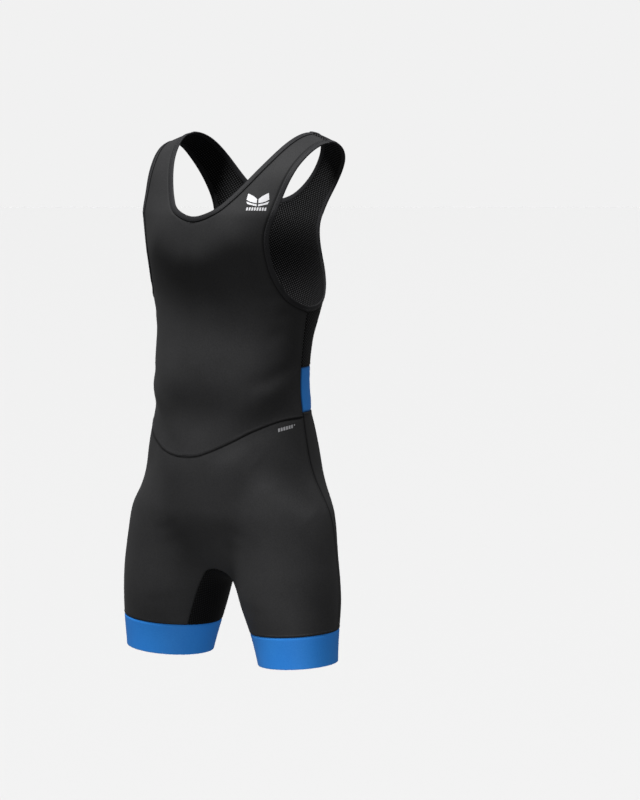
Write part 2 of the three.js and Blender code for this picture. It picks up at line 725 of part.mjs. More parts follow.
/** The row of slanted blocks printed across the waistband. */
function waistbandPrint() {
  const middleOfBand = (BAND_TOP + BAND_BOTTOM) / 2;
  const { width, height, pitch, slant } = BAND_BLOCK;
  const place = (distance, z) => {
    const half = level(z, atHeight(hip[0], () => z), false, BAND_MARKS);
    const step = half[0].distanceTo(half[1]);
    const reach = Math.abs(distance) / step;
    const i = Math.min(Math.floor(reach), half.length - 2);
    const p = atHeight(half[i].clone().lerp(half[i + 1], reach - i), () => z);
    return distance < 0 ? mirror(p) : p;
  };
  for (let k = 0; k < BAND_BLOCKS; k++) {
    const centre = (k - (BAND_BLOCKS - 1) / 2) * pitch;
    const grid = [0, 1, 2].map((j) => [0, 1, 2, 3].map((i) => {
      const lean = slant * (j / 2 - 0.5);
      return place(centre + width * (0.5 - i / 3) - lean, middleOfBand + height * (j / 2 - 0.5));
    }));
    const block = wall(new Sheet().grid(grid), PRINT_LIFT, PRINT_LIFT + PRINT, 0);
    piece(`waistband_print_${k + 1}`, block, "navy");
  }
}

frontTorso();
backTorso();
waistband();
frontShorts();
backShorts();
gusset();
cuffs();
neckBinding();
armholeBindings();
printsAndLabel();
waistbandPrint();

export default garment;
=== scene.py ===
"""Wrestling singlet, filled out as worn: panels, waistband, cuffs, bindings, prints and stitches."""
import logging
import math
from collections.abc import Callable, Sequence
from dataclasses import dataclass, field
from enum import Enum

import bpy
import numpy as np
from mathutils import Matrix, Vector


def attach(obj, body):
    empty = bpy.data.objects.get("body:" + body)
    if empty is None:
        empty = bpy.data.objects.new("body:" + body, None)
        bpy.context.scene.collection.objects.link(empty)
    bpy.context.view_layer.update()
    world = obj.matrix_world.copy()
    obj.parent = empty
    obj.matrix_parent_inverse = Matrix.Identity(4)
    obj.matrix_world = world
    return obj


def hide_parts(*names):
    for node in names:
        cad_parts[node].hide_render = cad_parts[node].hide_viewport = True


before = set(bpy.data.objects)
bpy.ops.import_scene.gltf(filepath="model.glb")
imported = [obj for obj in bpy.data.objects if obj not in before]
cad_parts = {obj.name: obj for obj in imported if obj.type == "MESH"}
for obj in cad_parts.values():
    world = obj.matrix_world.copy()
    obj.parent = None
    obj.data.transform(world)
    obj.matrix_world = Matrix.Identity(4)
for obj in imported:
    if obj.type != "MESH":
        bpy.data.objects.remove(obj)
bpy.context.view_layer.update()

LOG = logging.getLogger("singlet")
MM = 0.001
TINY = 1e-9
Array = np.ndarray
Point = tuple[float, float, float]
Tree = bpy.types.NodeTree
Node = bpy.types.Node
Socket = bpy.types.NodeSocket
Piece = bpy.types.Object
SEAM_THINNING = 0.25  # half the cloth's loss of thickness right at a seam, in millimetres
SEAM_REACH = 0.5
# painted shade along the seams' folds: its share right in a fold, and the dark colour that it blends in
PAINTED_SEAM_SHADE_SHARE = 0.85
PAINTED_SEAM_SHADE_COLOUR = "#050505"
INNER_DIP = 0.3  # share of a seam's dip that shows on the inner face


# ---------------------------------------------------------------- the form under the cloth


class Rings:
    """A smooth run of ring sizes by height: a natural cubic spline through each column."""

    def __init__(self, rows: Sequence[tuple[float, ...]]) -> None:
        """Prepares the spline.

        Args:
            rows: Height and sizes in millimetres, in any order of height.
        """
        table = np.array(sorted(rows))
        self.height = table[:, 0]
        self.size = table[:, 1:]
        n = len(table)
        step = np.diff(self.height)
        matrix = np.eye(n)
        right = np.zeros_like(self.size)
        for i in range(1, n - 1):
            matrix[i, i - 1:i + 2] = step[i - 1], 2 * (step[i - 1] + step[i]), step[i]
            rise = (self.size[i + 1] - self.size[i]) / step[i]
            right[i] = 6 * (rise - (self.size[i] - self.size[i - 1]) / step[i - 1])
        self.bend = np.linalg.solve(matrix, right)

    def at(self, z: Array) -> Array:
        """Sizes at the given heights, one row of the result for each size."""
        z = np.clip(z, self.height[0], self.height[-1])
        i = np.clip(np.searchsorted(self.height, z) - 1, 0, len(self.height) - 2)
        step = (self.height[i + 1] - self.height[i])[:, None]
        b = (z - self.height[i])[:, None] / step
        a = 1 - b
        curve = ((a ** 3 - a) * self.bend[i] + (b ** 3 - b) * self.bend[i + 1]) * step ** 2 / 6
        return (a * self.size[i] + b * self.size[i + 1] + curve).T


@dataclass(frozen=True)
class Crease:
    """A soft trough over the cloth, or a ridge where its depth is negative. Sizes in millimetres."""

    path: tuple[Point, ...]
    width: float
    depth: float
    fades: bool = True

    def press(self, points: Array) -> Array:
        """How far the crease moves the cloth inwards at each point."""
        path, reach = np.array(self.path), 3 * self.width
        near = ((points > path.min(0) - reach) & (points < path.max(0) + reach)).all(1)
        moved = np.zeros(len(points))
        if near.any():
            moved[near] = self.press_near(points[near])
        return moved

    def press_near(self, points: Array) -> Array:
        """How far the crease moves the cloth inwards at points near it."""
        nearest = np.full(len(points), np.inf)
        place = np.zeros(len(points))
        stretches = len(self.path) - 1
        for k in range(stretches):
            start = np.array(self.path[k])
            along = np.array(self.path[k + 1]) - start
            t = np.clip((points - start) @ along / (along @ along), 0, 1)
            gap = ((points - start - t[:, None] * along) ** 2).sum(1)
            place = np.where(gap < nearest, (k + t) / stretches, place)
            nearest = np.minimum(nearest, gap)
        strength = np.sin(np.pi * np.clip(place, 0.02, 0.98)) ** 0.8 if self.fades else 1.0
        return self.depth * strength * np.exp(-nearest / self.width ** 2)

    def mirrored(self) -> "Crease":
        """The same crease on the other side."""
        return Crease(tuple((-x, y, z) for x, y, z in self.path), self.width, self.depth, self.fades)


@dataclass
class Form:
    """The space inside the garment, as a field that is zero in the middle of the cloth. Millimetres."""

    trunk: Rings
    thigh: Rings
    creases: list[Crease]
    shoulder_base: float = -128
    shoulder_rise: float = 146
    shoulder_softness: float = 0.2
    crotch_base: float = -590
    crotch_drop: float = 120
    crotch_blend: float = 40
    thigh_turn: float = math.radians(35)
    thigh_base: float = -600
    thigh_rise: float = 90
    trunk_reach: float = 105
    thigh_reach: float = 82
    longest_step: float = 25

    def trunk_value(self, p: Array) -> Array:
        """The trunk's field: rings that close over the shoulders and under the crotch."""
        x, y, z = p.T
        half, front, front_round, back, back_round, centre = self.trunk.at(z)
        depth = np.where(y < centre, front, back)
        power = np.where(y < centre, front_round, back_round)
        rise = np.maximum(0, (z - self.shoulder_base) / self.shoulder_rise)
        shoulder = rise ** 2 / (rise + self.shoulder_softness) * (1 + self.shoulder_softness)
        crotch = np.maximum(0, (self.crotch_base - z) / self.crotch_drop) ** 2
        ring = np.abs(x / half) ** power + np.abs((y - centre) / depth) ** power
        return ((ring + shoulder + crotch) ** (1 / power) - 1) * self.trunk_reach

    def thigh_value(self, p: Array, side: int) -> Array:
        """One thigh's field: oval rings on a leaning axis, turned a little about it."""
        axis, long, short = self.thigh.at(p[:, 2])
        x = p[:, 0] * side - axis
        along = x * math.cos(self.thigh_turn) - p[:, 1] * math.sin(self.thigh_turn)
        across = x * math.sin(self.thigh_turn) + p[:, 1] * math.cos(self.thigh_turn)
        top = np.maximum(0, (p[:, 2] - self.thigh_base) / self.thigh_rise)
        oval = np.sqrt((along / long) ** 2 + (across / short) ** 2 + top ** 2)
        return (oval - 1) * self.thigh_reach

    def joined(self, a: Array, b: Array) -> Array:
        """The lesser of two fields, with a soft fillet where they meet."""
        near = np.maximum(0, self.crotch_blend - np.abs(a - b)) / self.crotch_blend
        return np.minimum(a, b) - near ** 3 * self.crotch_blend / 6

    def value(self, p: Array) -> Array:
        """The whole field at each point."""
        total = self.joined(self.trunk_value(p), self.thigh_value(p, 1))
        total = self.joined(total, self.thigh_value(p, -1))
        for crease in self.creases:
            total = total + crease.press(p)
        return total

    def slope(self, p: Array) -> Array:
        """Slope of the field at each point."""
        step = 0.5
        out = np.empty_like(p)
        for k in range(3):
            shift = np.zeros(3)
            shift[k] = step
            out[:, k] = (self.value(p + shift) - self.value(p - shift)) / (2 * step)
        return out

    def outward(self, p: Array) -> Array:
        """Unit direction away from the space inside."""
        slope = self.slope(p)
        return slope / np.linalg.norm(slope, axis=1, keepdims=True)

    def settle(self, p: Array, rounds: int = 8, height: Callable[[Array], Array] | None = None) -> Array:
        """Moves points onto the form.

        Args:
            p: Points, one a row.
            rounds: Number of Newton steps.
            height: If given, each point keeps the height that this says for its place.

        Returns:
            The moved points.
        """
        p = p.copy()
        for _ in range(rounds):
            if height is not None:
                p[:, 2] = height(p)
            slope = self.slope(p)
            if height is not None:
                slope[:, 2] = 0
            steep = np.linalg.norm(slope, axis=1) + TINY
            step = np.clip(self.value(p) / steep, -self.longest_step, self.longest_step)
            p -= slope * (step / steep)[:, None]
        return p


# ---------------------------------------------------------------- lines on the form


def catmull(points: Sequence[Point], steps: int, closed: bool) -> Array:
    """Centripetal Catmull-Rom curve through the points.

    Args:
        points: The points that the curve runs through.
        steps: Number of fine steps between two of them.
        closed: Whether the curve comes back to its start.

    Returns:
        Fine points along the curve.
    """
    given = np.array(points, float)
    n = len(given)
    if closed:
        padded = np.vstack([given[-1], given, given[:2]])
    else:
        padded = np.vstack([2 * given[0] - given[1], given, 2 * given[-1] - given[-2]])
    out = []
    for k in range(n if closed else n - 1):
        p0, p1, p2, p3 = padded[k:k + 4]
        d0, d1, d2 = (math.sqrt(math.dist(a, b)) for a, b in ((p0, p1), (p1, p2), (p2, p3)))
        start = ((p1 - p0) / d0 - (p2 - p0) / (d0 + d1) + (p2 - p1) / d1) * d1
        end = ((p2 - p1) / d1 - (p3 - p1) / (d1 + d2) + (p3 - p2) / d2) * d1
        t = (np.arange(steps) / steps)[:, None]
        square = -3 * p1 + 3 * p2 - 2 * start - end
        cube = 2 * p1 - 2 * p2 + start + end
        out.append(p1 + start * t + square * t ** 2 + cube * t ** 3)
    out.append(given[:1] if closed else given[-1:])
    return np.vstack(out)


@dataclass
class Line:
    """Fine points on the form with their places along it, from 0 to 1."""

    points: Array
    place: Array

    @classmethod
    def through(cls, points: Array) -> "Line":
        """A line whose places are even in length."""
        length = np.concatenate([[0], np.cumsum(np.linalg.norm(np.diff(points, axis=0), axis=1))])
        return cls(points, length / length[-1])

    def at(self, place: Array) -> Array:
        """Points at the given places."""
        return np.stack([np.interp(place, self.place, self.points[:, k]) for k in range(3)], axis=1)

    def part(self, start: float, end: float) -> "Line":
        """The part between two places, even in length again."""
        inside = (self.place > start + TINY) & (self.place < end - TINY)
        ends = self.at(np.array([start, end]))
        return Line.through(np.vstack([ends[:1], self.points[inside], ends[1:]]))

    def reversed(self) -> "Line":
        """The same line, run the other way."""
        return Line(self.points[::-1], 1 - self.place[::-1])

    def mirrored(self) -> "Line":
        """The same line on the other side."""
        return Line(self.points * [-1, 1, 1], self.place)

    @property
    def length(self) -> float:
        """Length in millimetres."""
        return float(np.linalg.norm(np.diff(self.points, axis=0), axis=1).sum())

    def falls_to(self, height: float) -> float:
        """Place at which a falling line first passes a height."""
        i = int(np.argmax(self.points[:, 2] < height))
        above, below = self.points[i - 1, 2], self.points[i, 2]
        t = (above - height) / (above - below)
        return float(self.place[i - 1] + t * (self.place[i] - self.place[i - 1]))


@dataclass
class Edge:
    """One side of a panel: lines joined end to end, each with its number of coarse cells."""

    runs: list[tuple[Line, int]]

    @property
    def count(self) -> int:
        """Number of coarse cells along the edge."""
        return sum(count for _, count in self.runs)

    def at(self, marks: Array) -> Array:
        """Points at the given marks, counted in coarse cells."""
        out = np.zeros((len(marks), 3))
        start = 0
        for line, count in self.runs:
            here = (marks >= start - TINY) & (marks <= start + count + TINY)
            out[here] = line.at((marks[here] - start) / count)
            start += count
        return out


def swapped(points: Sequence[Point]) -> list[Point]:
    """The points on the other side, in the other order."""
    return [(-x, y, z) for x, y, z in reversed(points)]


@dataclass
class Pattern:
    """Every seam, edge and opening of the garment, laid on the form. Millimetres, the wearer's left side."""

    form: Form
    steps: int = 24
    dense: int = 8
    columns: int = 10
    hip_rows: int = 1
    band_rows: int = 4
    flank_rows: int = 6
    leg_rows: int = 20
    arm_rows: int = 20
    arm_floor: int = 5
    neck_front_rows: int = 12
    neck_back_rows: int = 11
    gusset_rows: int = 8
    gusset_columns: int = 6
    relax_rounds: int = 10
    binding_width: float = 8
    band_top: float = -366
    band_bottom: float = -437
    seam_end: float = -444
    cuff_top: float = -788
    cuff_slope: float = 0.08
    cuff_height: float = 52
    leg_centre: float = 119
    leg_start: float = 75
    trunk_start: tuple[float, float] = (130, 100)
    neck_front_points: tuple[Point, ...] = (
        (0, -106, -127), (35, -98, -116), (54, -80, -98), (85, -35, -51), (98, -5, -27))
    neck_top_point: Point = (112, 52, 2)
    neck_back_points: tuple[Point, ...] = (
        (106, 83, -10), (88, 105, -38), (58, 117, -74), (28, 121, -97), (0, 122, -104))
    arm_top: Point = (153, 48, -18)
    arm_front_points: tuple[Point, ...] = (
        (146, -17, -40), (140, -33, -62), (133, -49, -94), (124, -74, -156),
        (121, -62, -202), (127, -50, -230), (137, -35, -252))
    arm_bottom: Point = (144, 6, -269)
    arm_back_points: tuple[Point, ...] = (
        (137, 52, -263), (121, 86, -237), (110, 97, -200), (105, 98, -165),
        (107, 101, -123), (120, 105, -92), (146, 97, -46))
    side_points: tuple[Point, ...] = (
        (144, 6, -269), (131, 4, -340), (134, -2, -400), (139, -2, -440), (148, 0, -516),
        (166, 15, -611), (178, 20, -680), (185, 20, -717), (190, 10, -790), (196, 8, -845))
    front_seam_points: tuple[Point, ...] = (
        (-140, -2, -444), (-128, -40, -466), (-108, -58, -483), (-80, -78, -498), (-37, -96, -508),
        (0, -98, -507), (21, -98, -500), (63, -92, -480), (95, -80, -463), (122, -50, -449), (140, -2, -444))
    front_seam_middle: int = 5
    gusset_front_points: tuple[Point, ...] = (
        (0, -38, -676), (22, -38, -688), (33, -40, -712), (43, -44, -747), (55, -44, -790), (62, -44, -830))
    gusset_back_points: tuple[Point, ...] = (
        (0, 34, -690), (22, 36, -702), (33, 38, -720), (43, 38, -750), (55, 38, -790), (62, 38, -830))
    chest: Point = (0, -100, -212)
    blades: Point = (0, 110, -212)

    def __post_init__(self) -> None:
        """Draws every line."""
        self.draw_neck()
        self.draw_side()
        self.draw_armhole()
        self.draw_levels()
        self.draw_front_seam()
        self.draw_gusset()

    def strand(self, points: Sequence[Point], closed: bool = False) -> Array:
        """Fine points of a smooth curve laid on the form."""
        return self.form.settle(catmull(points, self.steps, closed))

    def shifted(self, points: Array, distance: float, closed: bool) -> Array:
        """The points moved along the cloth, square to their line; a positive distance goes to its left."""
        if closed:
            along = np.roll(points, -1, 0) - np.roll(points, 1, 0)
        else:
            along = np.gradient(points, axis=0)
        side = np.cross(self.form.outward(points), along)
        side /= np.linalg.norm(side, axis=1, keepdims=True)
        return self.form.settle(points + side * distance)

    def run(self, start: Array, end: Array) -> Line:
        """A straight run over the form between two points."""
        t = np.linspace(0, 1, self.steps * 4 + 1)[:, None]
        return Line.through(self.form.settle(start * (1 - t) + end * t))

    def middle(self, start: Array, end: Array) -> Line:
        """A straight run over the form along the middle of the garment."""
        line = self.run(start, end)
        line.points[:, 0] = 0
        return line

    def draw_neck(self) -> None:
        """Draws the neck's edge, and the seam of its binding."""
        points = [*self.neck_front_points, self.neck_top_point, *self.neck_back_points]
        fine = self.strand([*points, *swapped(points)[1:-1]], True)
        top = len(self.neck_front_points) * self.steps
        back = (len(points) - 1) * self.steps
        front_count = self.neck_front_rows * self.dense
        front = Line.through(fine[:top + 1]).at(np.linspace(0, 1, front_count + 1))
        rear = Line.through(fine[top:back + 1]).at(np.linspace(0, 1, self.neck_back_rows * self.dense + 1))
        half = np.vstack([front, rear[1:]])
        self.neck_edge = np.vstack([half, half[-2:0:-1] * [-1, 1, 1]])
        self.neck_seam = self.shifted(self.neck_edge, -self.binding_width, True)
        self.neck_seam[[0, len(half) - 1], 0] = 0
        seam = self.neck_seam[:len(half)]
        self.neck_front = Line(seam[:front_count + 1], np.linspace(0, 1, front_count + 1))
        rear_seam = seam[front_count:]
        self.neck_back = Line(rear_seam, np.linspace(0, 1, len(rear_seam)))

    def draw_side(self) -> None:
        """Draws the side seam, from the armhole down to the leg cuff."""
        line = Line.through(self.strand(self.side_points))
        away = np.linalg.norm(line.points - line.points[0], axis=1)
        first = float(line.place[int(np.argmax(away >= self.binding_width))])
        top, bottom, end = (line.falls_to(z) for z in (self.band_top, self.band_bottom, self.seam_end))
        self.flank = line.part(first, top)
        self.band_end = line.part(top, bottom)
        self.hip = line.part(bottom, end)
        self.leg_side = self.down_to_cuff(line.part(end, 1))

    def cuff_level(self, drop: float) -> Callable[[Array], Array]:
        """Height of the leg opening's line, which leans with the leg, at a drop below the cuff's top."""
        return lambda p: self.cuff_top + self.cuff_slope * (np.abs(p[:, 0]) - self.leg_centre) - drop

    def down_to_cuff(self, line: Line) -> Line:
        """The part of a falling line above the cuff, ending exactly on it."""
        height = self.cuff_level(0)
        gap = line.points[:, 2] - height(line.points)
        i = int(np.argmax(gap < 0))
        t = gap[i - 1] / (gap[i - 1] - gap[i])
        end = line.points[i - 1] * (1 - t) + line.points[i] * t
        return Line.through(np.vstack([line.points[:i], self.form.settle(end[None], 8, height)]))

    def draw_armhole(self) -> None:
        """Draws the armhole's edge, and the seam of its binding."""
        points = [self.arm_top, *self.arm_front_points, self.arm_bottom, *self.arm_back_points]
        fine = self.strand(points, True)
        bottom = (len(self.arm_front_points) + 1) * self.steps
        count = self.arm_rows * self.dense
        even = np.linspace(0, 1, count + 1)
        front = Line.through(fine[:bottom + 1]).at(even)
        back = Line.through(fine[bottom:]).at(even)
        self.arm_edge = np.vstack([front[:-1], back[:-1]])
        self.arm_seam = self.shifted(self.arm_edge, -self.binding_width, True)
        self.arm_seam[count] = self.flank.points[0]
        self.arm_front = Line(self.arm_seam[:count + 1], even)
        self.arm_back = Line(np.vstack([self.arm_seam[count:], self.arm_seam[:1]]), even)
        self.shoulder = self.run(self.neck_front.points[-1], self.arm_seam[0])

    def level(self, z: float, side: Array) -> Line:
        """A line round the back at one height, from the middle to the side."""
        angle = np.linspace(math.pi / 2, math.atan2(side[1], side[0]), self.steps * 4 + 1)
        across, deep = self.trunk_start
        start = np.stack([across * np.cos(angle), deep * np.sin(angle), np.full_like(angle, z)], axis=1)
        points = self.form.settle(start, 8, lambda p: np.full(len(p), z))
        points[0, 0] = 0
        points[-1] = side
        return Line.through(points)

    def draw_levels(self) -> None:
        """Draws the top and the bottom of the waistband."""
        self.band_top_line = self.level(self.band_top, self.band_end.points[0])
        self.band_bottom_line = self.level(self.band_bottom, self.hip.points[0])

    def draw_front_seam(self) -> None:
        """Draws the curved seam across the belly, as a left half, and a right half seen in a mirror."""
        fine = self.strand(self.front_seam_points)
        centre = self.front_seam_middle * self.steps
        halves = (fine[centre:], fine[:centre + 1][::-1] * [-1, 1, 1])
        self.front_seam = []
        for half in halves:
            half = half.copy()
            half[0, 0] = 0
            half[-1] = self.hip.points[-1]
            self.front_seam.append(Line.through(half))

    def draw_gusset(self) -> None:
        """Draws the gusset's front and back edges and the line round the leg's cuff."""
        edges = []
        for points in (self.gusset_front_points, self.gusset_back_points):
            whole = self.strand([*swapped(points)[:-1], *points])
            half = whole[(len(points) - 1) * self.steps:]
            half[0, 0] = 0
            edges.append(self.down_to_cuff(Line.through(half)))
        self.gusset_front, self.gusset_back = edges

    def leg_line(self, start: Array, end: Array, drop: float) -> Line:
        """A stretch of the line round the left leg between two of its points."""
        first = math.atan2(start[1], start[0] - self.leg_centre)
        last = math.atan2(end[1], end[0] - self.leg_centre)
        if first - last > math.pi:
            last += 2 * math.pi
        if last - first > math.pi:
            first += 2 * math.pi
        angle = np.linspace(first, last, self.steps * 2 + 1)
        x = self.leg_centre + self.leg_start * np.cos(angle)
        p = np.stack([x, self.leg_start * np.sin(angle), np.full_like(x, self.cuff_top)], axis=1)
        p = self.form.settle(p, 8, self.cuff_level(drop))
        p[0], p[-1] = start, end
        return Line.through(p)

    def leg_round(self, drop: float) -> tuple[Line, Line, Line]:
        """The line round the left leg at a drop below the cuff's top: its front, inner and back stretches."""
        corners = np.stack([line.points[-1] for line in (self.leg_side, self.gusset_front, self.gusset_back)])
        if drop:
            corners = self.form.settle(corners, 8, self.cuff_level(drop))
        side, front, back = corners
        return (self.leg_line(front, side, drop), self.leg_line(front, back, drop),
                self.leg_line(back, side, drop))

    def stretched(self, bottom: Edge, top: Edge, inner: Edge, outer: Edge,
                  columns: Array, rows: Array) -> tuple[Array, Array]:
        """A sheet stretched between four edges and evened out on the form.

        Args:
            bottom: Edge that the columns start from.
            top: Edge that the columns end at.
            inner: Edge that the rows start from.
            outer: Edge that the rows end at.
            columns: Marks of the fine columns, counted in coarse cells.
            rows: Marks of the fine rows, counted in coarse cells.

        Returns:
            The coarse grid and the fine grid, each as rows of points.
        """
        low, high = bottom.at(np.arange(bottom.count + 1.0)), top.at(np.arange(bottom.count + 1.0))
        near, far = inner.at(np.arange(inner.count + 1.0)), outer.at(np.arange(inner.count + 1.0))
        v = np.linspace(0, 1, inner.count + 1)[:, None, None]
        u = np.linspace(0, 1, bottom.count + 1)[None, :, None]
        grid = low * (1 - v) + high * v + near[:, None] * (1 - u) + far[:, None] * u
        grid -= low[0] * (1 - u) * (1 - v) + low[-1] * u * (1 - v) + high[0] * (1 - u) * v + high[-1] * u * v
        shape = grid[1:-1, 1:-1].shape
        grid[1:-1, 1:-1] = self.form.settle(grid[1:-1, 1:-1].reshape(-1, 3)).reshape(shape)
        for _ in range(self.relax_rounds):
            mean = (grid[1:-1, :-2] + grid[1:-1, 2:] + grid[:-2, 1:-1] + grid[2:, 1:-1]) / 4
            grid[1:-1, 1:-1] = self.form.settle(mean.reshape(-1, 3), 2).reshape(shape)
        fine = resampled(resampled(grid, rows, 0), columns, 1)
        fine = self.form.settle(fine.reshape(-1, 3), 4).reshape(fine.shape)
        fine[0], fine[-1] = bottom.at(columns), top.at(columns)
        fine[:, 0], fine[:, -1] = inner.at(rows), outer.at(rows)
        return grid, fine


def resampled(grid: Array, marks: Array, axis: int, smooth: bool = True) -> Array:
    """A grid read at fractional marks along one axis, by a smooth or a straight blend of its points."""
    grid = np.moveaxis(grid, axis, 0)
    i = np.clip(np.floor(marks + TINY).astype(int), 0, len(grid) - 2)
    t = (marks - i).reshape(-1, *[1] * (grid.ndim - 1))
    p1, p2 = grid[i], grid[i + 1]
    if smooth:
        padded = np.concatenate([2 * grid[:1] - grid[1:2], grid, 2 * grid[-1:] - grid[-2:-1]])
        p0, p3 = padded[i], padded[i + 3]
        start, end = (p2 - p0) / 2, (p3 - p1) / 2
        square = 3 * (p2 - p1) - 2 * start - end
        cube = 2 * (p1 - p2) + start + end
        out = p1 + start * t + square * t ** 2 + cube * t ** 3
    else:
        out = p1 * (1 - t) + p2 * t
    return np.moveaxis(out, 0, axis)


def marks(count: int, start: bool = False, end: bool = False, fine: int = 5, seam: int = 10) -> Array:
    """Marks across coarse cells, closer together in the first and last cells where a seam runs."""
    out = []
    for k in range(count):
        n = seam if (start and k == 0) or (end and k == count - 1) else fine
        out.append(k + np.arange(n) / n)
    return np.append(np.concatenate(out), count)


# ---------------------------------------------------------------- sheets of cloth


def flattened(grids: list[Array], rounds: int = 900, haste: float = 1.6) -> list[Array]:
    """Unrolls coarse grids that share points into one flat cut, as a cutter would lay the panel out.

    Args:
        grids: Grids of points; a point at x = 0 stays on the cut's middle line.
        rounds: Number of times that every thread is brought back to its length.
        haste: How far each round goes beyond the mean pull on a point.

    Returns:
        Flat places in millimetres, one grid for each.
    """
    everything = np.vstack([grid.reshape(-1, 3) for grid in grids])
    _, first, index = np.unique(np.round(everything, 3), axis=0, return_index=True, return_inverse=True)
    index = index.reshape(-1)
    points = everything[first]
    ids, pairs, offset = [], [], 0
    for grid in grids:
        rows, columns = grid.shape[:2]
        table = index[offset:offset + rows * columns].reshape(rows, columns)
        offset += rows * columns
        ids.append(table)
        for a, b in ((table[:, :-1], table[:, 1:]), (table[:-1], table[1:]),
                     (table[:-1, :-1], table[1:, 1:]), (table[:-1, 1:], table[1:, :-1])):
            pairs.append(np.stack([a.ravel(), b.ravel()], axis=1))
    flat = np.full((len(points), 2), np.nan)
    for table in ids:
        place = points[table]
        across = np.hypot(*np.moveaxis(np.diff(place[..., :2], axis=1), -1, 0))
        for j in range(len(table)):
            if np.isnan(flat[table[j, 0], 0]):
                flat[table[j, 0], 0] = place[j, 0, 0]
            flat[table[j], 0] = flat[table[j, 0], 0] + np.concatenate([[0], np.cumsum(across[j])])
        known = ~np.isnan(flat[table[0], 1])
        flat[table[0][~known], 1] = points[table[0][~known], 2]
        for j in range(1, len(table)):
            flat[table[j], 1] = flat[table[j - 1], 1] + np.linalg.norm(place[j] - place[j - 1], axis=-1)
    a, b = np.unique(np.vstack(pairs), axis=0).T
    rest = np.linalg.norm(points[a] - points[b], axis=1)
    centre = np.abs(points[:, 0]) < 0.01
    pinned = flat[centre]
    share = np.bincount(np.concatenate([a, b]), minlength=len(points))[:, None]
    for _ in range(rounds):
        gap = flat[b] - flat[a]
        length = np.linalg.norm(gap, axis=1) + TINY
        pull = gap * ((length - rest) / length / 2)[:, None]
        move = np.zeros_like(flat)
        for k in range(2):
            move[:, k] = np.bincount(a, pull[:, k], len(points)) - np.bincount(b, pull[:, k], len(points))
        flat += move / share * haste
        flat[centre] = pinned
    return [flat[table] for table in ids]


class SeamSide(Enum):
    """How a panel's surface runs into one of its edges: distance from the edge and height, in millimetres."""

    TOPSTITCHED = ((0, -1.0), (0.9, -0.35), (1.9, 0.4), (3.4, 0.4), (4.2, -0.1), (5.2, 0.05), (7, 0))
    PLAIN = ((0, -1.0), (1.2, -0.5), (2.8, 0), (4, 0))
    BOUND = ((0, -0.6), (1.6, -0.9), (3.6, 0), (5, 0))

    def lift(self, distance: Array) -> Array:
        """Height of the surface at each distance from the edge."""
        table = np.array(self.value)
        return np.interp(distance, table[:, 0], table[:, 1])


@dataclass
class Sheet:
    """A sheet of cloth made of grids that share their edges."""

    form: Form
    points: list[Array] = field(default_factory=list)
    flat: list[Array] = field(default_factory=list)
    quads: list[Array] = field(default_factory=list)
    count: int = 0

    def add(self, grid: Array, flat: Array, mirror: bool = False) -> None:
        """Adds a grid, or its mirror image on the other side.

        Args:
            grid: Rows of points.
            flat: Rows of places on the flat cut.
            mirror: Whether to add the mirror image.
        """
        sign = -1 if mirror else 1
        rows, columns = grid.shape[:2]
        table = np.arange(rows * columns).reshape(rows, columns) + self.count
        quad = np.stack([table[:-1, :-1], table[:-1, 1:], table[1:, 1:], table[1:, :-1]], axis=-1)
        self.points.append(grid.reshape(-1, 3) * [sign, 1, 1])
        self.flat.append(flat.reshape(-1, 2) * [sign, 1])
        self.quads.append(quad.reshape(-1, 4))
        self.count += rows * columns

    def joined(self) -> tuple[Array, Array, Array, Array]:
        """The sheet with shared points made one: points, flat places, directions outwards and quads."""
        points, flat = np.vstack(self.points), np.vstack(self.flat)
        _, first, index = np.unique(np.round(points, 2), axis=0, return_index=True, return_inverse=True)
        index = index.reshape(-1)
        points, flat, quads = points[first], flat[first], index[np.vstack(self.quads)]
        whole = (np.diff(np.sort(quads, axis=1), axis=1) > 0).all(axis=1)
        quads = quads[whole]
        outward = self.form.outward(points)
        a, b, c, d = (points[quads[:, k]] for k in range(4))
        facing = (np.cross(c - a, d - b) * outward[quads[:, 0]]).sum(1)
        quads[facing < 0] = quads[facing < 0][:, ::-1]
        return points, flat, outward, quads


def distance_to(points: Array, lines: Sequence[Array]) -> Array:
    """Distance from each point to the nearest of some lines, in millimetres."""
    step, block = 0.7, 600
    finest = []
    for line in lines:
        smooth = Line.through(line)
        finest.append(smooth.at(np.linspace(0, 1, max(2, int(smooth.length / step)))))
    target = np.vstack(finest)
    out = np.empty(len(points))
    for k in range(0, len(points), block):
        part = points[k:k + block]
        square = (part ** 2).sum(1)[:, None] + (target ** 2).sum(1) - 2 * part @ target.T
        out[k:k + block] = np.sqrt(np.maximum(square, 0).min(1))
    return out


def shell(sheet: Sheet, half: Array | float, lift: Array | float) -> tuple[Array, list[list[int]], Array]:
    """Gives a sheet its thickness.

    Args:
        sheet: The sheet.
        half: Half the cloth's thickness, in millimetres, for all points or for each.
        lift: How far the outer face stands above the form, in millimetres.

    Returns:
        Points, faces and flat places of the closed shell.
    """
    points, flat, outward, quads = sheet.joined()
    count = len(points)
    half = np.broadcast_to(half, count)
    lift = np.broadcast_to(lift, count)
    outer = points + outward * (half + lift)[:, None]
    inner = points - outward * (half - np.minimum(lift, 0) * INNER_DIP)[:, None]
    edges = np.vstack([quads[:, [k, (k + 1) % 4]] for k in range(4)])
    alone = ~np.isin(edges[:, 0] * count + edges[:, 1], edges[:, 1] * count + edges[:, 0])
    a, b = edges[alone].T
    rim = np.stack([b, a, a + count, b + count], axis=1)
    faces = np.vstack([quads, quads[:, ::-1] + count, rim])
    return np.vstack([outer, inner]), faces.tolist(), np.vstack([flat, flat])


# ---------------------------------------------------------------- finishes


def linear(colour: str) -> tuple[float, float, float, float]:
    """Turns an sRGB hex value into linear colour."""
    parts = [int(colour[k:k + 2], 16) / 255 for k in (1, 3, 5)]
    return (*(c / 12.92 if c <= 0.04045 else ((c + 0.055) / 1.055) ** 2.4 for c in parts), 1.0)


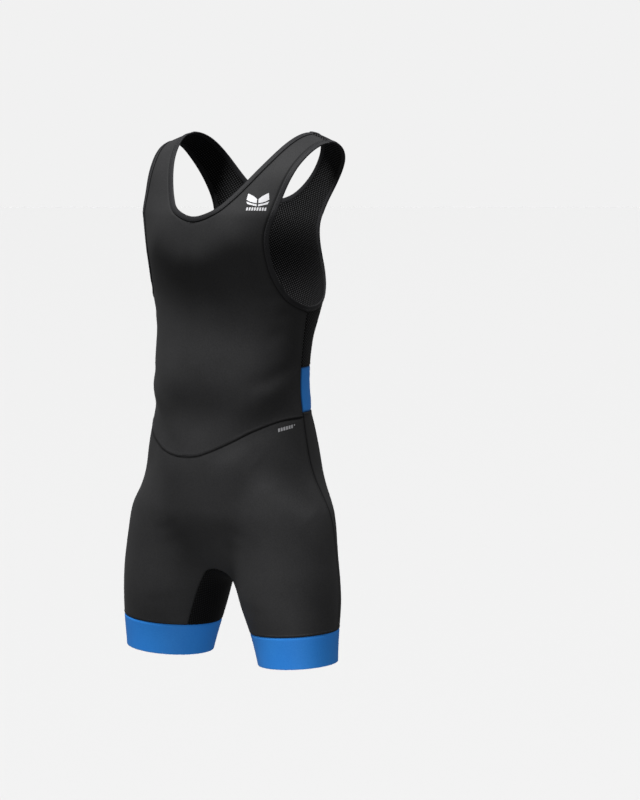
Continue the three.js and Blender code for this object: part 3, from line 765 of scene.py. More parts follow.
def add_node(tree: Tree, kind: str, settings: dict[str, object] | None = None,
             links: dict[str | int, object] | None = None) -> Node:
    """Adds a node.

    Args:
        tree: The node tree.
        kind: The node's type.
        settings: Attributes to set on the node.
        links: Values, or sockets to link, by input name or number.

    Returns:
        The node.
    """
    node = tree.nodes.new(kind)
    for name, value in (settings or {}).items():
        setattr(node, name, value)
    for name, value in (links or {}).items():
        if isinstance(value, Socket):
            tree.links.new(value, node.inputs[name])
        else:
            node.inputs[name].default_value = value
    return node


class Maths:
    """Short names for a tree's arithmetic on patterns."""

    def __init__(self, tree: Tree) -> None:
        """Keeps the tree."""
        self.tree = tree

    def do(self, operation: str, *values: object, clamp: bool = False) -> Socket:
        """One arithmetic step on sockets or numbers."""
        node = add_node(self.tree, "ShaderNodeMath", {"operation": operation, "use_clamp": clamp},
                        dict(enumerate(values)))
        return node.outputs[0]

    def wave(self, value: object, pitch: float, phase: float = 0) -> Socket:
        """A sine wave of a given pitch in millimetres along a place in metres."""
        turns = self.do("MULTIPLY_ADD", value, 2 * math.pi / (pitch * MM), phase)
        return self.do("SINE", turns)


@dataclass(frozen=True)
class Finish:
    """A finish with its base colours and the shader's plain values."""

    name: str
    colour: str
    deep: str
    roughness: float = 0.6
    sheen: float = 0.0
    specular: float = 0.4

    def make(self) -> bpy.types.Material:
        """Builds the material."""
        material = bpy.data.materials.new(self.name)
        material.use_nodes = True
        tree = material.node_tree
        tree.nodes.clear()
        output = add_node(tree, "ShaderNodeOutputMaterial")
        shader = add_node(tree, "ShaderNodeBsdfPrincipled", links={
            "Roughness": self.roughness, "Sheen Weight": self.sheen, "Sheen Roughness": 0.45,
            "Specular IOR Level": self.specular, "IOR": 1.5})
        tree.links.new(shader.outputs[0], output.inputs[0])
        self.dress(tree, shader)
        return material

    def dress(self, tree: Tree, shader: Node) -> None:
        """Adds colour variation; each kind of finish adds its own pattern."""
        shade = self.clouds(tree, 14, 0.5)
        self.colour_by(tree, shader, shade)

    def clouds(self, tree: Tree, scale: float, detail: float) -> Socket:
        """Soft uneven shade, as a value about one half."""
        place = add_node(tree, "ShaderNodeTexCoord").outputs["Object"]
        noise = add_node(tree, "ShaderNodeTexNoise", links={
            "Vector": place, "Scale": scale, "Detail": 3.0, "Roughness": detail})
        return noise.outputs["Fac"]

    def colour_by(self, tree: Tree, shader: Node, amount: Socket) -> None:
        """Blends the deep colour into the base colour, and paints shade into the folds of the seams."""
        mix = add_node(tree, "ShaderNodeMix", {"data_type": "RGBA"}, {
            0: amount, 6: linear(self.deep), 7: linear(self.colour)})
        seam = add_node(tree, "ShaderNodeAttribute", {"attribute_name": "painted_seam_shade"}).outputs["Fac"]
        # painted shade: near each seam the colour darkens, as if the folded allowances shaded the cloth
        worn = add_node(tree, "ShaderNodeMix", {"data_type": "RGBA"}, {
            0: Maths(tree).do("MULTIPLY", seam, PAINTED_SEAM_SHADE_SHARE), 6: mix.outputs[2], 7: linear(PAINTED_SEAM_SHADE_COLOUR)})
        tree.links.new(worn.outputs[2], shader.inputs["Base Color"])

    def bump(self, tree: Tree, shader: Node, height: Socket, depth: float, strength: float) -> None:
        """Lets a height pattern, of a depth in millimetres, raise the surface."""
        node = add_node(tree, "ShaderNodeBump", links={
            "Height": height, "Distance": depth * MM, "Strength": strength})
        tree.links.new(node.outputs[0], shader.inputs["Normal"])

    def cut_place(self, tree: Tree) -> tuple[Socket, Socket]:
        """Place on the flat cut, in metres: across and along."""
        uv = add_node(tree, "ShaderNodeUVMap", {"uv_map": "cut"})
        split = add_node(tree, "ShaderNodeSeparateXYZ", links={0: uv.outputs[0]})
        return split.outputs[0], split.outputs[1]


@dataclass(frozen=True)
class SmoothKnit(Finish):
    """Warp-knitted polyamide with elastane: fine upright wales, an even matt face with a slight sheen.

    The real wales are 0.4 mm apart; they are drawn at 1.1 mm, so that they show.
    """

    wale: float = 1.1
    course: float = 0.9
    relief: float = 0.05
    lean: float = 0.25
    course_height: float = 0.35
    grain: float = 0.9
    stitch_shade: float = 0.22

    def dress(self, tree: Tree, shader: Node) -> None:
        """Adds wales, courses and uneven dye."""
        maths = Maths(tree)
        across, along = self.cut_place(tree)
        wale = maths.do("ABSOLUTE", maths.wave(across, self.wale * 2))
        lean = maths.do("MULTIPLY", maths.wave(across, self.wale), self.lean * self.course * MM)
        course = maths.wave(maths.do("ADD", along, lean), self.course)
        height = maths.do("MULTIPLY_ADD", course, self.course_height, wale)
        dye = self.clouds(tree, 9, 0.55)
        grain = maths.do("MULTIPLY_ADD", self.clouds(tree, 450, 0.6), self.grain, -self.grain / 2)
        shade = maths.do("MULTIPLY_ADD", height, self.stitch_shade, maths.do("ADD", dye, grain), clamp=True)
        self.colour_by(tree, shader, shade)
        self.bump(tree, shader, height, self.relief, 0.5)


@dataclass(frozen=True)
class OpenMesh(Finish):
    """Black sports mesh: slanting rows of small holes between raised knots, 4.5 mm apart; the knots are
    painted lighter, a painted highlight on the raised yarn.
    """

    pitch: float = 4.5
    relief: float = 0.35
    knot: str = "#3a3a3c"
    slant: float = 0.55
    rib_slant: float = 0.45
    rib_share: float = 0.86
    sharpness: float = 4.5

    def dress(self, tree: Tree, shader: Node) -> None:
        """Adds the lattice of knots and holes, with a painted highlight on each knot."""
        maths = Maths(tree)
        across, along = self.cut_place(tree)
        rows = maths.wave(maths.do("ADD", across, maths.do("MULTIPLY", along, self.slant)), self.pitch)
        leaning = maths.do("SUBTRACT", maths.do("MULTIPLY", across, self.rib_slant), along)
        ribs = maths.wave(leaning, self.pitch * self.rib_share)
        lattice = maths.do("MULTIPLY_ADD", maths.do("ADD", rows, ribs), 0.25, 0.5)
        knots = maths.do("POWER", lattice, self.sharpness)
        dye = self.clouds(tree, 8, 0.5)
        base = maths.do("MULTIPLY", dye, 0.5)
        self.colour_by(tree, shader, base)
        under = shader.inputs["Base Color"].links[0].from_socket
        # painted highlight: the knots take a lighter colour, as if light caught each raised knot
        mix = add_node(tree, "ShaderNodeMix", {"data_type": "RGBA"}, {
            0: knots, 6: under, 7: linear(self.knot)})
        tree.links.new(mix.outputs[2], shader.inputs["Base Color"])
        self.bump(tree, shader, lattice, self.relief, 0.7)


@dataclass(frozen=True)
class FoldedStrip(Finish):
    """A folded strip of the same black knit: fine ribs across it, and a slightly brighter, tighter face."""

    rib: float = 1.4
    relief: float = 0.06

    def dress(self, tree: Tree, shader: Node) -> None:
        """Adds the ribs and uneven dye."""
        maths = Maths(tree)
        _, along = self.cut_place(tree)
        ribs = maths.wave(along, self.rib)
        shade = maths.do("MULTIPLY_ADD", ribs, 0.15, self.clouds(tree, 20, 0.5), clamp=True)
        self.colour_by(tree, shader, shade)
        self.bump(tree, shader, ribs, self.relief, 0.5)


@dataclass(frozen=True)
class SewingThread(Finish):
    """Twisted polyester thread: a slight gloss, with the twist as fine slanting lines."""

    twist: float = 0.5

    def dress(self, tree: Tree, shader: Node) -> None:
        """Adds the twist."""
        place = add_node(tree, "ShaderNodeTexCoord").outputs["Object"]
        split = add_node(tree, "ShaderNodeSeparateXYZ", links={0: place})
        maths = Maths(tree)
        slanting = maths.do("ADD", split.outputs[2], maths.do("ADD", split.outputs[0], split.outputs[1]))
        lines = maths.do("MULTIPLY_ADD", maths.wave(slanting, self.twist), 0.4, 0.5)
        self.colour_by(tree, shader, lines)
        self.bump(tree, shader, lines, 0.05, 0.4)


@dataclass(frozen=True)
class TransferFilm(Finish):
    """Heat-pressed polyurethane film: smooth, glossier than cloth, with the knit's grain pressed through."""

    grain: float = 1.1

    def dress(self, tree: Tree, shader: Node) -> None:
        """Adds the grain pressed through and slight wear."""
        maths = Maths(tree)
        fine = self.clouds(tree, 1000 / self.grain, 0.5)
        worn = maths.do("MULTIPLY_ADD", self.clouds(tree, 60, 0.6), 0.6, 0.35, clamp=True)
        self.colour_by(tree, shader, worn)
        self.bump(tree, shader, fine, 0.05, 0.4)


@dataclass(frozen=True)
class WovenLabel(Finish):
    """Damask-woven satin label: very fine slanting weave with a slight gloss."""

    pitch: float = 0.7

    def dress(self, tree: Tree, shader: Node) -> None:
        """Adds the weave."""
        maths = Maths(tree)
        across, along = self.cut_place(tree)
        weave = maths.wave(maths.do("ADD", across, along), self.pitch)
        self.colour_by(tree, shader, maths.do("MULTIPLY_ADD", weave, 0.3, 0.5))
        self.bump(tree, shader, weave, 0.04, 0.4)


@dataclass
class Finishes:
    """The garment's materials, each made once."""

    knit: Finish = SmoothKnit("black_warp_knit", "#3e3e3f", "#29292a", 0.62, 0.03, 0.12)
    # the knot colour is a painted highlight on the mesh's raised knots
    mesh: Finish = OpenMesh("black_sports_mesh", "#09090a", "#020202", 0.7, 0.02, 0.1, knot="#5a5a5c")
    # the same sports mesh with dimmer knots: a copy in painted shade for the gusset, which lies in shade
    # between the legs
    close_mesh: Finish = OpenMesh("black_sports_mesh_painted_shade", "#0b0b0c", "#030303", 0.7, 0.02, 0.1, knot="#2c2c2e")
    blue: Finish = SmoothKnit("blue_warp_knit", "#3f9fff", "#2d88f0", 0.6, 0.03, 0.12)
    strip: Finish = FoldedStrip("black_binding_strip", "#363638", "#29292b", 0.58, 0.03, 0.15)
    thread: Finish = SewingThread("black_polyester_thread", "#202022", "#101011", 0.45, 0.0, 0.4)
    white: Finish = TransferFilm("white_transfer_film", "#fafafc", "#e4e4ea", 0.42, 0.0, 0.5)
    navy: Finish = TransferFilm("dark_blue_transfer_film", "#24549f", "#1c458a", 0.45, 0.0, 0.5)
    grey: Finish = TransferFilm("grey_transfer_film", "#b2b2b5", "#9a9a9e", 0.45, 0.0, 0.5)
    satin: Finish = WovenLabel("black_satin_label", "#161618", "#0a0a0b", 0.4, 0.0, 0.5)
    made: dict[str, bpy.types.Material] = field(default_factory=dict)

    def of(self, finish: Finish) -> bpy.types.Material:
        """The material of a finish, made at its first use."""
        if finish.name not in self.made:
            self.made[finish.name] = finish.make()
        return self.made[finish.name]


# ---------------------------------------------------------------- pieces


@dataclass
class Workshop:
    """What every sub-assembly needs: the pattern, the finishes, and the making of a piece."""

    pattern: Pattern
    finishes: Finishes
    crease_angle: float = math.radians(50)

    @property
    def form(self) -> Form:
        """The form that the cloth lies on."""
        return self.pattern.form

    def piece(self, name: str, points: Array, faces: list[list[int]], flat: Array | None, finish: Finish,
              slot: str, nodes: Sequence[str] = (), shade: Array | None = None) -> Piece:
        """Makes one piece of the garment.

        Args:
            name: The piece's name.
            points: Points in millimetres.
            faces: Faces as lists of point numbers.
            flat: Place of each point on the flat cut, in millimetres.
            finish: The piece's finish.
            slot: The record's material slot; not used.
            nodes: CAD nodes that the piece stands for.
            shade: How much painted shade each point takes from the nearest seam's fold, from 0 to 1.

        Returns:
            The piece.
        """
        mesh = bpy.data.meshes.new(name)
        mesh.from_pydata((points * MM).tolist(), [], faces)
        mesh.validate()
        # each point keeps how much painted seam shade the finishes darken its colour by
        values = np.zeros(len(mesh.vertices), np.float32) if shade is None else shade.astype(np.float32)
        mesh.attributes.new("painted_seam_shade", "FLOAT", "POINT").data.foreach_set("value", values)
        if flat is not None:
            layer = mesh.uv_layers.new(name="cut")
            corner = np.empty(len(mesh.loops), dtype=np.int32)
            mesh.loops.foreach_get("vertex_index", corner)
            layer.data.foreach_set("uv", (flat[corner] * MM).astype(np.float32).ravel())
        mesh.materials.append(self.finishes.of(finish))
        piece = bpy.data.objects.new(name, mesh)
        bpy.context.collection.objects.link(piece)
        bpy.ops.object.select_all(action="DESELECT")
        piece.select_set(True)
        bpy.context.view_layer.objects.active = piece
        bpy.ops.object.shade_smooth_by_angle(angle=self.crease_angle)
        piece.select_set(False)
        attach(piece, "root")
        if nodes:
            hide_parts(*nodes)
        LOG.info("%s: %d faces", name, len(mesh.polygons))
        return piece


@dataclass
class Panel:
    """One sewn panel: its grids, and how its surface runs into its seams."""

    name: str
    finish: Finish
    slot: str
    halves: list[tuple[list[Array], list[Array], bool]]
    seams: list[tuple[SeamSide, list[Array]]]
    thickness: float = 1.2
    # width of the painted shade beside each seam, in millimetres
    shade_width: float = 2.0

    def make(self, shop: Workshop) -> Piece:
        """Makes the panel as a thin shell."""
        sheet = Sheet(shop.form)
        for grids, flats, mirror in self.halves:
            for grid, flat in zip(grids, flats):
                sheet.add(grid, flat, mirror)
        points = sheet.joined()[0]
        lift = np.zeros(len(points))
        nearest = np.full(len(points), np.inf)
        for side, lines in self.seams:
            distance = distance_to(points, lines)
            lift = np.where(distance < nearest, side.lift(distance), lift)
            nearest = np.minimum(nearest, distance)
        half = self.thickness / 2 - SEAM_THINNING * np.exp(-nearest / SEAM_REACH)
        built = shell(sheet, half, lift)
        # painted shade: the cloth's colour darkens close to its seams
        shade = np.exp(-(nearest / self.shade_width) ** 2)
        return shop.piece(self.name, *built, self.finish, self.slot, (self.name,), np.tile(shade, 2))


def both(line: Array) -> list[Array]:
    """A line and its mirror image."""
    return [line, line * [-1, 1, 1]]


def pairs(*lines: Line) -> list[Array]:
    """The points of some lines and of their mirror images."""
    return [side for line in lines for side in both(line.points)]


@dataclass
class Torso:
    """The smooth front, the mesh back and the waistband across the back."""

    shop: Workshop
    band_thickness: float = 1.4

    def half(self, bottom: Edge, side: Edge, arm: Edge, neck: Edge,
             middle_point: Point) -> tuple[list[Array], list[Array]]:
        """Half a panel: a lower grid up to the armhole's floor, and an upper one up to the strap.

        Args:
            bottom: The panel's lower seam, from the middle to the side.
            side: The side seam, upwards.
            arm: The armhole's seam, upwards.
            neck: The neck's seam, upwards.
            middle_point: Place on the panel's middle line where the two grids meet.

        Returns:
            The coarse grids and the fine grids.
        """
        pattern = self.shop.pattern
        floor = pattern.arm_floor
        share = floor / pattern.arm_rows
        arm_line = arm.runs[0][0]
        middle_place = self.shop.form.settle(np.array([middle_point], float))[0]
        corner = arm_line.at(np.array([share]))[0]
        across = pattern.run(middle_place, corner)
        low_arm = Line(*self.cut(arm_line, 0, share))
        high_arm = Line(*self.cut(arm_line, share, 1))
        wide = pattern.columns - floor
        top = Edge([(across, wide), (low_arm.reversed(), floor)])
        start = bottom.at(np.array([0.0]))[0]
        lower_inner = Edge([(pattern.middle(start, middle_place), side.count)])
        high_rows = pattern.arm_rows - floor
        neck_rows = neck.count
        centre = pattern.middle(middle_place, neck.at(np.array([0.0]))[0])
        upper_inner = Edge([(centre, high_rows - neck_rows), *neck.runs])
        narrow = marks(wide, True, True)
        columns = np.concatenate([narrow, marks(floor, False, True)[1:] + wide])
        low = pattern.stretched(bottom, top, lower_inner, side, columns, marks(side.count, True))
        high = pattern.stretched(Edge([(across, wide)]), Edge([(pattern.shoulder, wide)]), upper_inner,
                                 Edge([(high_arm, high_rows)]), narrow, marks(high_rows, False, True))
        coarse = flattened([low[0], high[0]])
        flats = [resampled(resampled(coarse[0], marks(side.count, True), 0, False), columns, 1, False),
                 resampled(resampled(coarse[1], marks(high_rows, False, True), 0, False), narrow, 1, False)]
        return [low[1], high[1]], flats

    def cut(self, line: Line, start: float, end: float) -> tuple[Array, Array]:
        """Points and places of a part of a line that keeps its own spacing."""
        inside = (line.place > start + TINY) & (line.place < end - TINY)
        place = np.concatenate([[start], line.place[inside], [end]])
        return line.at(place), (place - start) / (end - start)

    def front(self) -> Piece:
        """Makes the smooth front panel."""
        p = self.shop.pattern
        side = Edge([(p.hip.reversed(), p.hip_rows), (p.band_end.reversed(), p.band_rows),
                     (p.flank.reversed(), p.flank_rows)])
        arm = Edge([(p.arm_front.reversed(), p.arm_rows)])
        neck = Edge([(p.neck_front, p.neck_front_rows)])
        halves = []
        for seam, mirror in zip(p.front_seam, (False, True)):
            grids, flats = self.half(Edge([(seam, p.columns)]), side, arm, neck, p.chest)
            halves.append((grids, flats, mirror))
        seams = [(SeamSide.TOPSTITCHED, [p.front_seam[0].points, p.front_seam[1].mirrored().points,
                                         *pairs(p.shoulder, p.flank, p.band_end, p.hip)]),
                 (SeamSide.BOUND, [p.neck_seam, *both(p.arm_seam)])]
        return Panel("front_torso", self.shop.finishes.knit, "smooth_knit", halves, seams).make(self.shop)

    def back(self) -> Piece:
        """Makes the mesh back panel."""
        p = self.shop.pattern
        bottom, side = Edge([(p.band_top_line, p.columns)]), Edge([(p.flank.reversed(), p.flank_rows)])
        arm, neck = Edge([(p.arm_back, p.arm_rows)]), Edge([(p.neck_back.reversed(), p.neck_back_rows)])
        grids, flats = self.half(bottom, side, arm, neck, p.blades)
        seams = [(SeamSide.PLAIN, pairs(p.shoulder, p.flank)),
                 (SeamSide.TOPSTITCHED, pairs(p.band_top_line)),
                 (SeamSide.BOUND, [p.neck_seam, *both(p.arm_seam)])]
        halves = [(grids, flats, False), (grids, flats, True)]
        return Panel("back_torso", self.shop.finishes.mesh, "mesh", halves, seams).make(self.shop)

    def waistband(self) -> Piece:
        """Makes the blue band across the back of the waist."""
        p = self.shop.pattern
        inner = p.middle(p.band_bottom_line.points[0], p.band_top_line.points[0])
        columns, rows = marks(p.columns, False, True), marks(p.band_rows, True, True)
        grid = p.stretched(Edge([(p.band_bottom_line, p.columns)]), Edge([(p.band_top_line, p.columns)]),
                           Edge([(inner, p.band_rows)]), Edge([(p.band_end.reversed(), p.band_rows)]),
                           columns, rows)[1]
        halves = [([grid], [unrolled(grid)], mirror) for mirror in (False, True)]
        seams = [(SeamSide.PLAIN, pairs(p.band_top_line, p.band_bottom_line, p.band_end))]
        return Panel("back_waistband", self.shop.finishes.blue, "blue_knit", halves, seams,
                     self.band_thickness).make(self.shop)


def unrolled(grid: Array) -> Array:
    """Flat places of a simple grid: length along its rows, and mean length up its columns."""
    across = np.linalg.norm(np.diff(grid, axis=1), axis=-1)
    up = np.linalg.norm(np.diff(grid, axis=0), axis=-1).mean(1)
    flat = np.zeros((*grid.shape[:2], 2))
    flat[:, 1:, 0] = np.cumsum(across, axis=1)
    flat[1:, :, 1] = np.cumsum(up)[:, None]
    return flat


@dataclass
class Shorts:
    """The smooth front and back of the shorts, and the mesh gusset between the legs."""

    shop: Workshop

    def front(self) -> Piece:
        """Makes the front of the shorts."""
        p = self.shop.pattern
        outer = Edge([(p.leg_side.reversed(), p.leg_rows)])
        halves = []
        for seam, mirror in zip(p.front_seam, (False, True)):
            centre = p.middle(p.gusset_front.points[0], seam.points[0])
            inner = Edge([(p.gusset_front.reversed(), p.gusset_rows), (centre, p.leg_rows - p.gusset_rows)])
            bottom = Edge([(p.leg_round(0)[0], p.columns)])
            halves.append((*self.grid(bottom, Edge([(seam, p.columns)]), inner, outer), mirror))
        seams = [(SeamSide.PLAIN, [p.front_seam[0].points, p.front_seam[1].mirrored().points]),
                 (SeamSide.TOPSTITCHED, pairs(p.leg_side, p.gusset_front, p.leg_round(0)[0]))]
        return Panel("front_shorts", self.shop.finishes.knit, "smooth_knit", halves, seams).make(self.shop)

    def back(self) -> Piece:
        """Makes the back of the shorts."""
        p = self.shop.pattern
        outer = Edge([(p.leg_side.reversed(), p.leg_rows), (p.hip.reversed(), p.hip_rows)])
        centre = p.middle(p.gusset_back.points[0], p.band_bottom_line.points[0])
        inner = Edge([(p.gusset_back.reversed(), p.gusset_rows), (centre, outer.count - p.gusset_rows)])
        bottom = Edge([(p.leg_round(0)[2], p.columns)])
        made = self.grid(bottom, Edge([(p.band_bottom_line, p.columns)]), inner, outer)
        seams = [(SeamSide.PLAIN, pairs(p.leg_side, p.hip)),
                 (SeamSide.TOPSTITCHED, pairs(p.band_bottom_line, p.gusset_back, p.leg_round(0)[2]))]
        return Panel("back_shorts", self.shop.finishes.knit, "smooth_knit", [(*made, False), (*made, True)],
                     seams).make(self.shop)

    def grid(self, bottom: Edge, top: Edge, inner: Edge, outer: Edge) -> tuple[list[Array], list[Array]]:
        """Half a panel between four edges: its fine grid and its flat cut."""
        columns = marks(bottom.count, True, True)
        rows = marks(outer.count, True, True)
        coarse, fine = self.shop.pattern.stretched(bottom, top, inner, outer, columns, rows)
        flat = flattened([coarse])[0]
        return [fine], [resampled(resampled(flat, rows, 0, False), columns, 1, False)]

    def gusset(self) -> Piece:
        """Makes the mesh gusset."""
        p = self.shop.pattern
        top = p.middle(p.gusset_front.points[0], p.gusset_back.points[0])
        columns, rows = marks(p.gusset_columns, True, True), marks(p.gusset_rows, True, False, 8)
        grid = p.stretched(Edge([(p.leg_round(0)[1], p.gusset_columns)]), Edge([(top, p.gusset_columns)]),
                           Edge([(p.gusset_front.reversed(), p.gusset_rows)]),
                           Edge([(p.gusset_back.reversed(), p.gusset_rows)]), columns, rows)[1]
        flat = unrolled(grid)
        flat[..., 0] -= flat[:, -1:, 0] / 2
        flat[..., 1] -= flat[-1, 0, 1]
        turned = flat[..., ::-1]
        seams = [(SeamSide.PLAIN, pairs(p.gusset_front, p.gusset_back, p.leg_round(0)[1]))]
        halves = [([grid], [turned], mirror) for mirror in (False, True)]
        # the gusset takes the sports mesh's copy in painted shade
        return Panel("gusset", self.shop.finishes.close_mesh, "mesh", halves, seams).make(self.shop)


@dataclass
class Cuffs:
    """The two blue leg cuffs, each a band folded double at the hem."""

    shop: Workshop
    thickness: float = 1.8
    hem_end: float = 0.02
    drops: tuple[float, ...] = (
        0, 0.7, 1.5, 2.6, 4, 6, 9, 13, 17, 21, 25, 29, 33, 37, 41, 45, 48, 50, 51, 51.6, 51.9, 52)
    around: tuple[int, int, int] = (70, 36, 70)

    def make(self) -> list[Piece]:
        """Makes both cuffs."""
        p = self.shop.pattern
        rings = []
        for drop in self.drops:
            parts = [line.at(np.linspace(0, 1, n + 1)) for line, n in zip(p.leg_round(drop), self.around)]
            rings.append(np.vstack([parts[0][::-1], parts[1][1:], parts[2][1:]]))
        grid = np.array(rings)
        flat = unrolled(grid)
        out = []
        for name, mirror in (("cuff_left", False), ("cuff_right", True)):
            side = np.array([-1 if mirror else 1, 1, 1])
            sheet = Sheet(self.shop.form)
            sheet.add(grid, flat, mirror)
            points = sheet.joined()[0]
            top, hem = distance_to(points, [rings[0] * side]), distance_to(points, [rings[-1] * side])
            full = self.thickness / 2
            half = full * np.sqrt(np.clip(1 - np.clip(1 - hem / full, 0, 1) ** 2, self.hem_end, 1))
            half = np.minimum(half, full - SEAM_THINNING * np.exp(-top / SEAM_REACH))
            built = shell(sheet, half, SeamSide.PLAIN.lift(top))
            out.append(self.shop.piece(name, *built, self.shop.finishes.blue, "blue_knit", (name,)))
        return out


@dataclass
class Bindings:
    """The folded strips round the neck and the two armholes."""

    shop: Workshop
    thickness: float = 2.6
    cloth: float = 0.8
    tuck: float = 0.6
    around: int = 16
    bulge: float = 0.5
    mouth: float = 0.35
    flatness: float = 0.45
    strip_width: float = 18.6

    def strip(self, name: str, edge: Array, seam: Array) -> Piece:
        """One strip folded over the edge: a slightly domed U with its mouth at the seam, swept round.

        Args:
            name: The strip's name.
            edge: Points round the opening's edge.
            seam: Points along the seam below the edge, one for each.

        Returns:
            The strip.
        """
        form = self.shop.form
        centre = form.settle((edge + seam) / 2)
        outward = form.outward(centre)
        across = seam - edge
        width = np.linalg.norm(across, axis=1)
        across /= width[:, None]
        angle = self.mouth + (2 * math.pi - 2 * self.mouth) * np.arange(self.around) / (self.around - 1)
        waves = (np.cos(angle), np.sin(angle))
        side, height = (np.sign(wave) * np.abs(wave) ** self.flatness for wave in waves)
        half = (width / 2 + self.tuck / 2)[:, None]
        bow = self.thickness / 2 + self.bulge * (1 - side ** 2) / 2
        outer = side * half
        inner = np.where(side > 0, outer, side * (half - self.cloth))
        reach = np.hstack([outer, inner[:, ::-1]]) + self.tuck / 2
        rise = np.concatenate([height * bow, (height * (bow - self.cloth))[::-1]])
        rings = centre[:, None] + across[:, None] * reach[:, :, None] + outward[:, None] * rise[None, :, None]
        n, sides = len(centre), 2 * self.around
        ring, turn = np.meshgrid(np.arange(n), np.arange(sides), indexing="ij")
        a = ring * sides + turn
        b = ring * sides + (turn + 1) % sides
        c = (ring + 1) % n * sides + (turn + 1) % sides
        d = (ring + 1) % n * sides + turn
        faces = np.stack([a, b, c, d], axis=-1).reshape(-1, 4)
        points = rings.reshape(-1, 3)
        a, b, c, d = (points[faces[:, k]] for k in range(4))
        away = (np.cross(c - a, d - b) * (a - centre[faces[:, 0] // sides])).sum(1)
        if away.sum() < 0:
            faces = faces[:, ::-1]
        length = np.concatenate([[0], np.cumsum(np.linalg.norm(np.diff(centre, axis=0), axis=1))])
        wide = self.strip_width * (np.arange(self.around) / (self.around - 1) - 0.5)
        flat = np.stack([np.tile(np.concatenate([wide, wide[::-1]]), n), np.repeat(length, sides)], axis=1)
        finish = self.shop.finishes.strip
        return self.shop.piece(name, points, faces.tolist(), flat, finish, "binding", (name,))

    def make(self) -> list[Piece]:
        """Makes the three strips."""
        p = self.shop.pattern
        flip = np.array([-1, 1, 1])
        return [self.strip("neck_binding", p.neck_edge, p.neck_seam),
                self.strip("armhole_binding_left", p.arm_edge, p.arm_seam),
                self.strip("armhole_binding_right", p.arm_edge * flip, p.arm_seam * flip)]


# ---------------------------------------------------------------- prints, label and stitches

Corners = tuple[tuple[float, float], tuple[float, float], tuple[float, float], tuple[float, float]]


def mirrored_corners(corners: Corners) -> Corners:
    """A four-cornered shape on the other side of the motif's middle line."""
    return tuple((-u, v) for u, v in reversed(corners))


EMBLEM_WINGS: tuple[Corners, ...] = (
    ((1.2, -2.5), (6.5, -1.5), (6.5, 9.5), (1.2, 4.5)),
    ((6.5, -1.5), (12.5, 0.5), (12.5, 13), (6.5, 9.5)),
    ((12.5, 0.5), (18, 4), (16.5, 15), (12.5, 13)),
    ((1.2, -8), (1.2, -4.4), (9, -3.0), (7.5, -6.2)),
    ((9, -3.0), (18, 0.8), (16, -4), (7.5, -6.2)),
)


def bars(count: int, start: float, pitch: float, width: float, lean: float,
         low: float, high: float) -> tuple[Corners, ...]:
    """A row of slanted bars between two heights.

    Args:
        count: Number of bars.
        start: Where the first bar's foot begins, in millimetres.
        pitch: Distance from bar to bar.
        width: Width of each bar.
        lean: How far a bar's top is moved across.
        low: Height of the feet.
        high: Height of the tops.

    Returns:
        The corners of the bars.
    """
    starts = (start + pitch * k for k in range(count))
    return tuple(((u, low), (u + width, low), (u + width + lean, high), (u + lean, high)) for u in starts)


EMBLEM: tuple[Corners, ...] = (
    *EMBLEM_WINGS, *map(mirrored_corners, EMBLEM_WINGS), *bars(8, -17.4, 4.1, 2.6, 0.8, -15, -9.8))
HIP_BARS: tuple[Corners, ...] = (
    *bars(6, -16, 4.6, 3.2, 1.2, -2.6, 2.6), ((13.4, 0.2), (15.6, 0.2), (15.6, 2.4), (13.4, 2.4)))
LABEL_BARS: tuple[Corners, ...] = bars(6, -11.6, 4, 2.4, 0.8, -1.8, 1.8)


@dataclass(frozen=True)
class Spot:
    """Where a print lies: a place near the form, the way its width runs, and its scale."""

    at: Point
    along: Point
    scale: float = 1.0

    def lay(self, form: Form, flat: Array) -> Array:
        """Points on the form for places on the print, in millimetres."""
        centre = form.settle(np.array([self.at], float))
        normal = form.outward(centre)[0]
        right = np.array(self.along, float)
        right -= normal * (right @ normal)
        right /= np.linalg.norm(right)
        up = np.cross(normal, right)
        return form.settle(centre + flat[:, :1] * self.scale * right + flat[:, 1:] * self.scale * up)


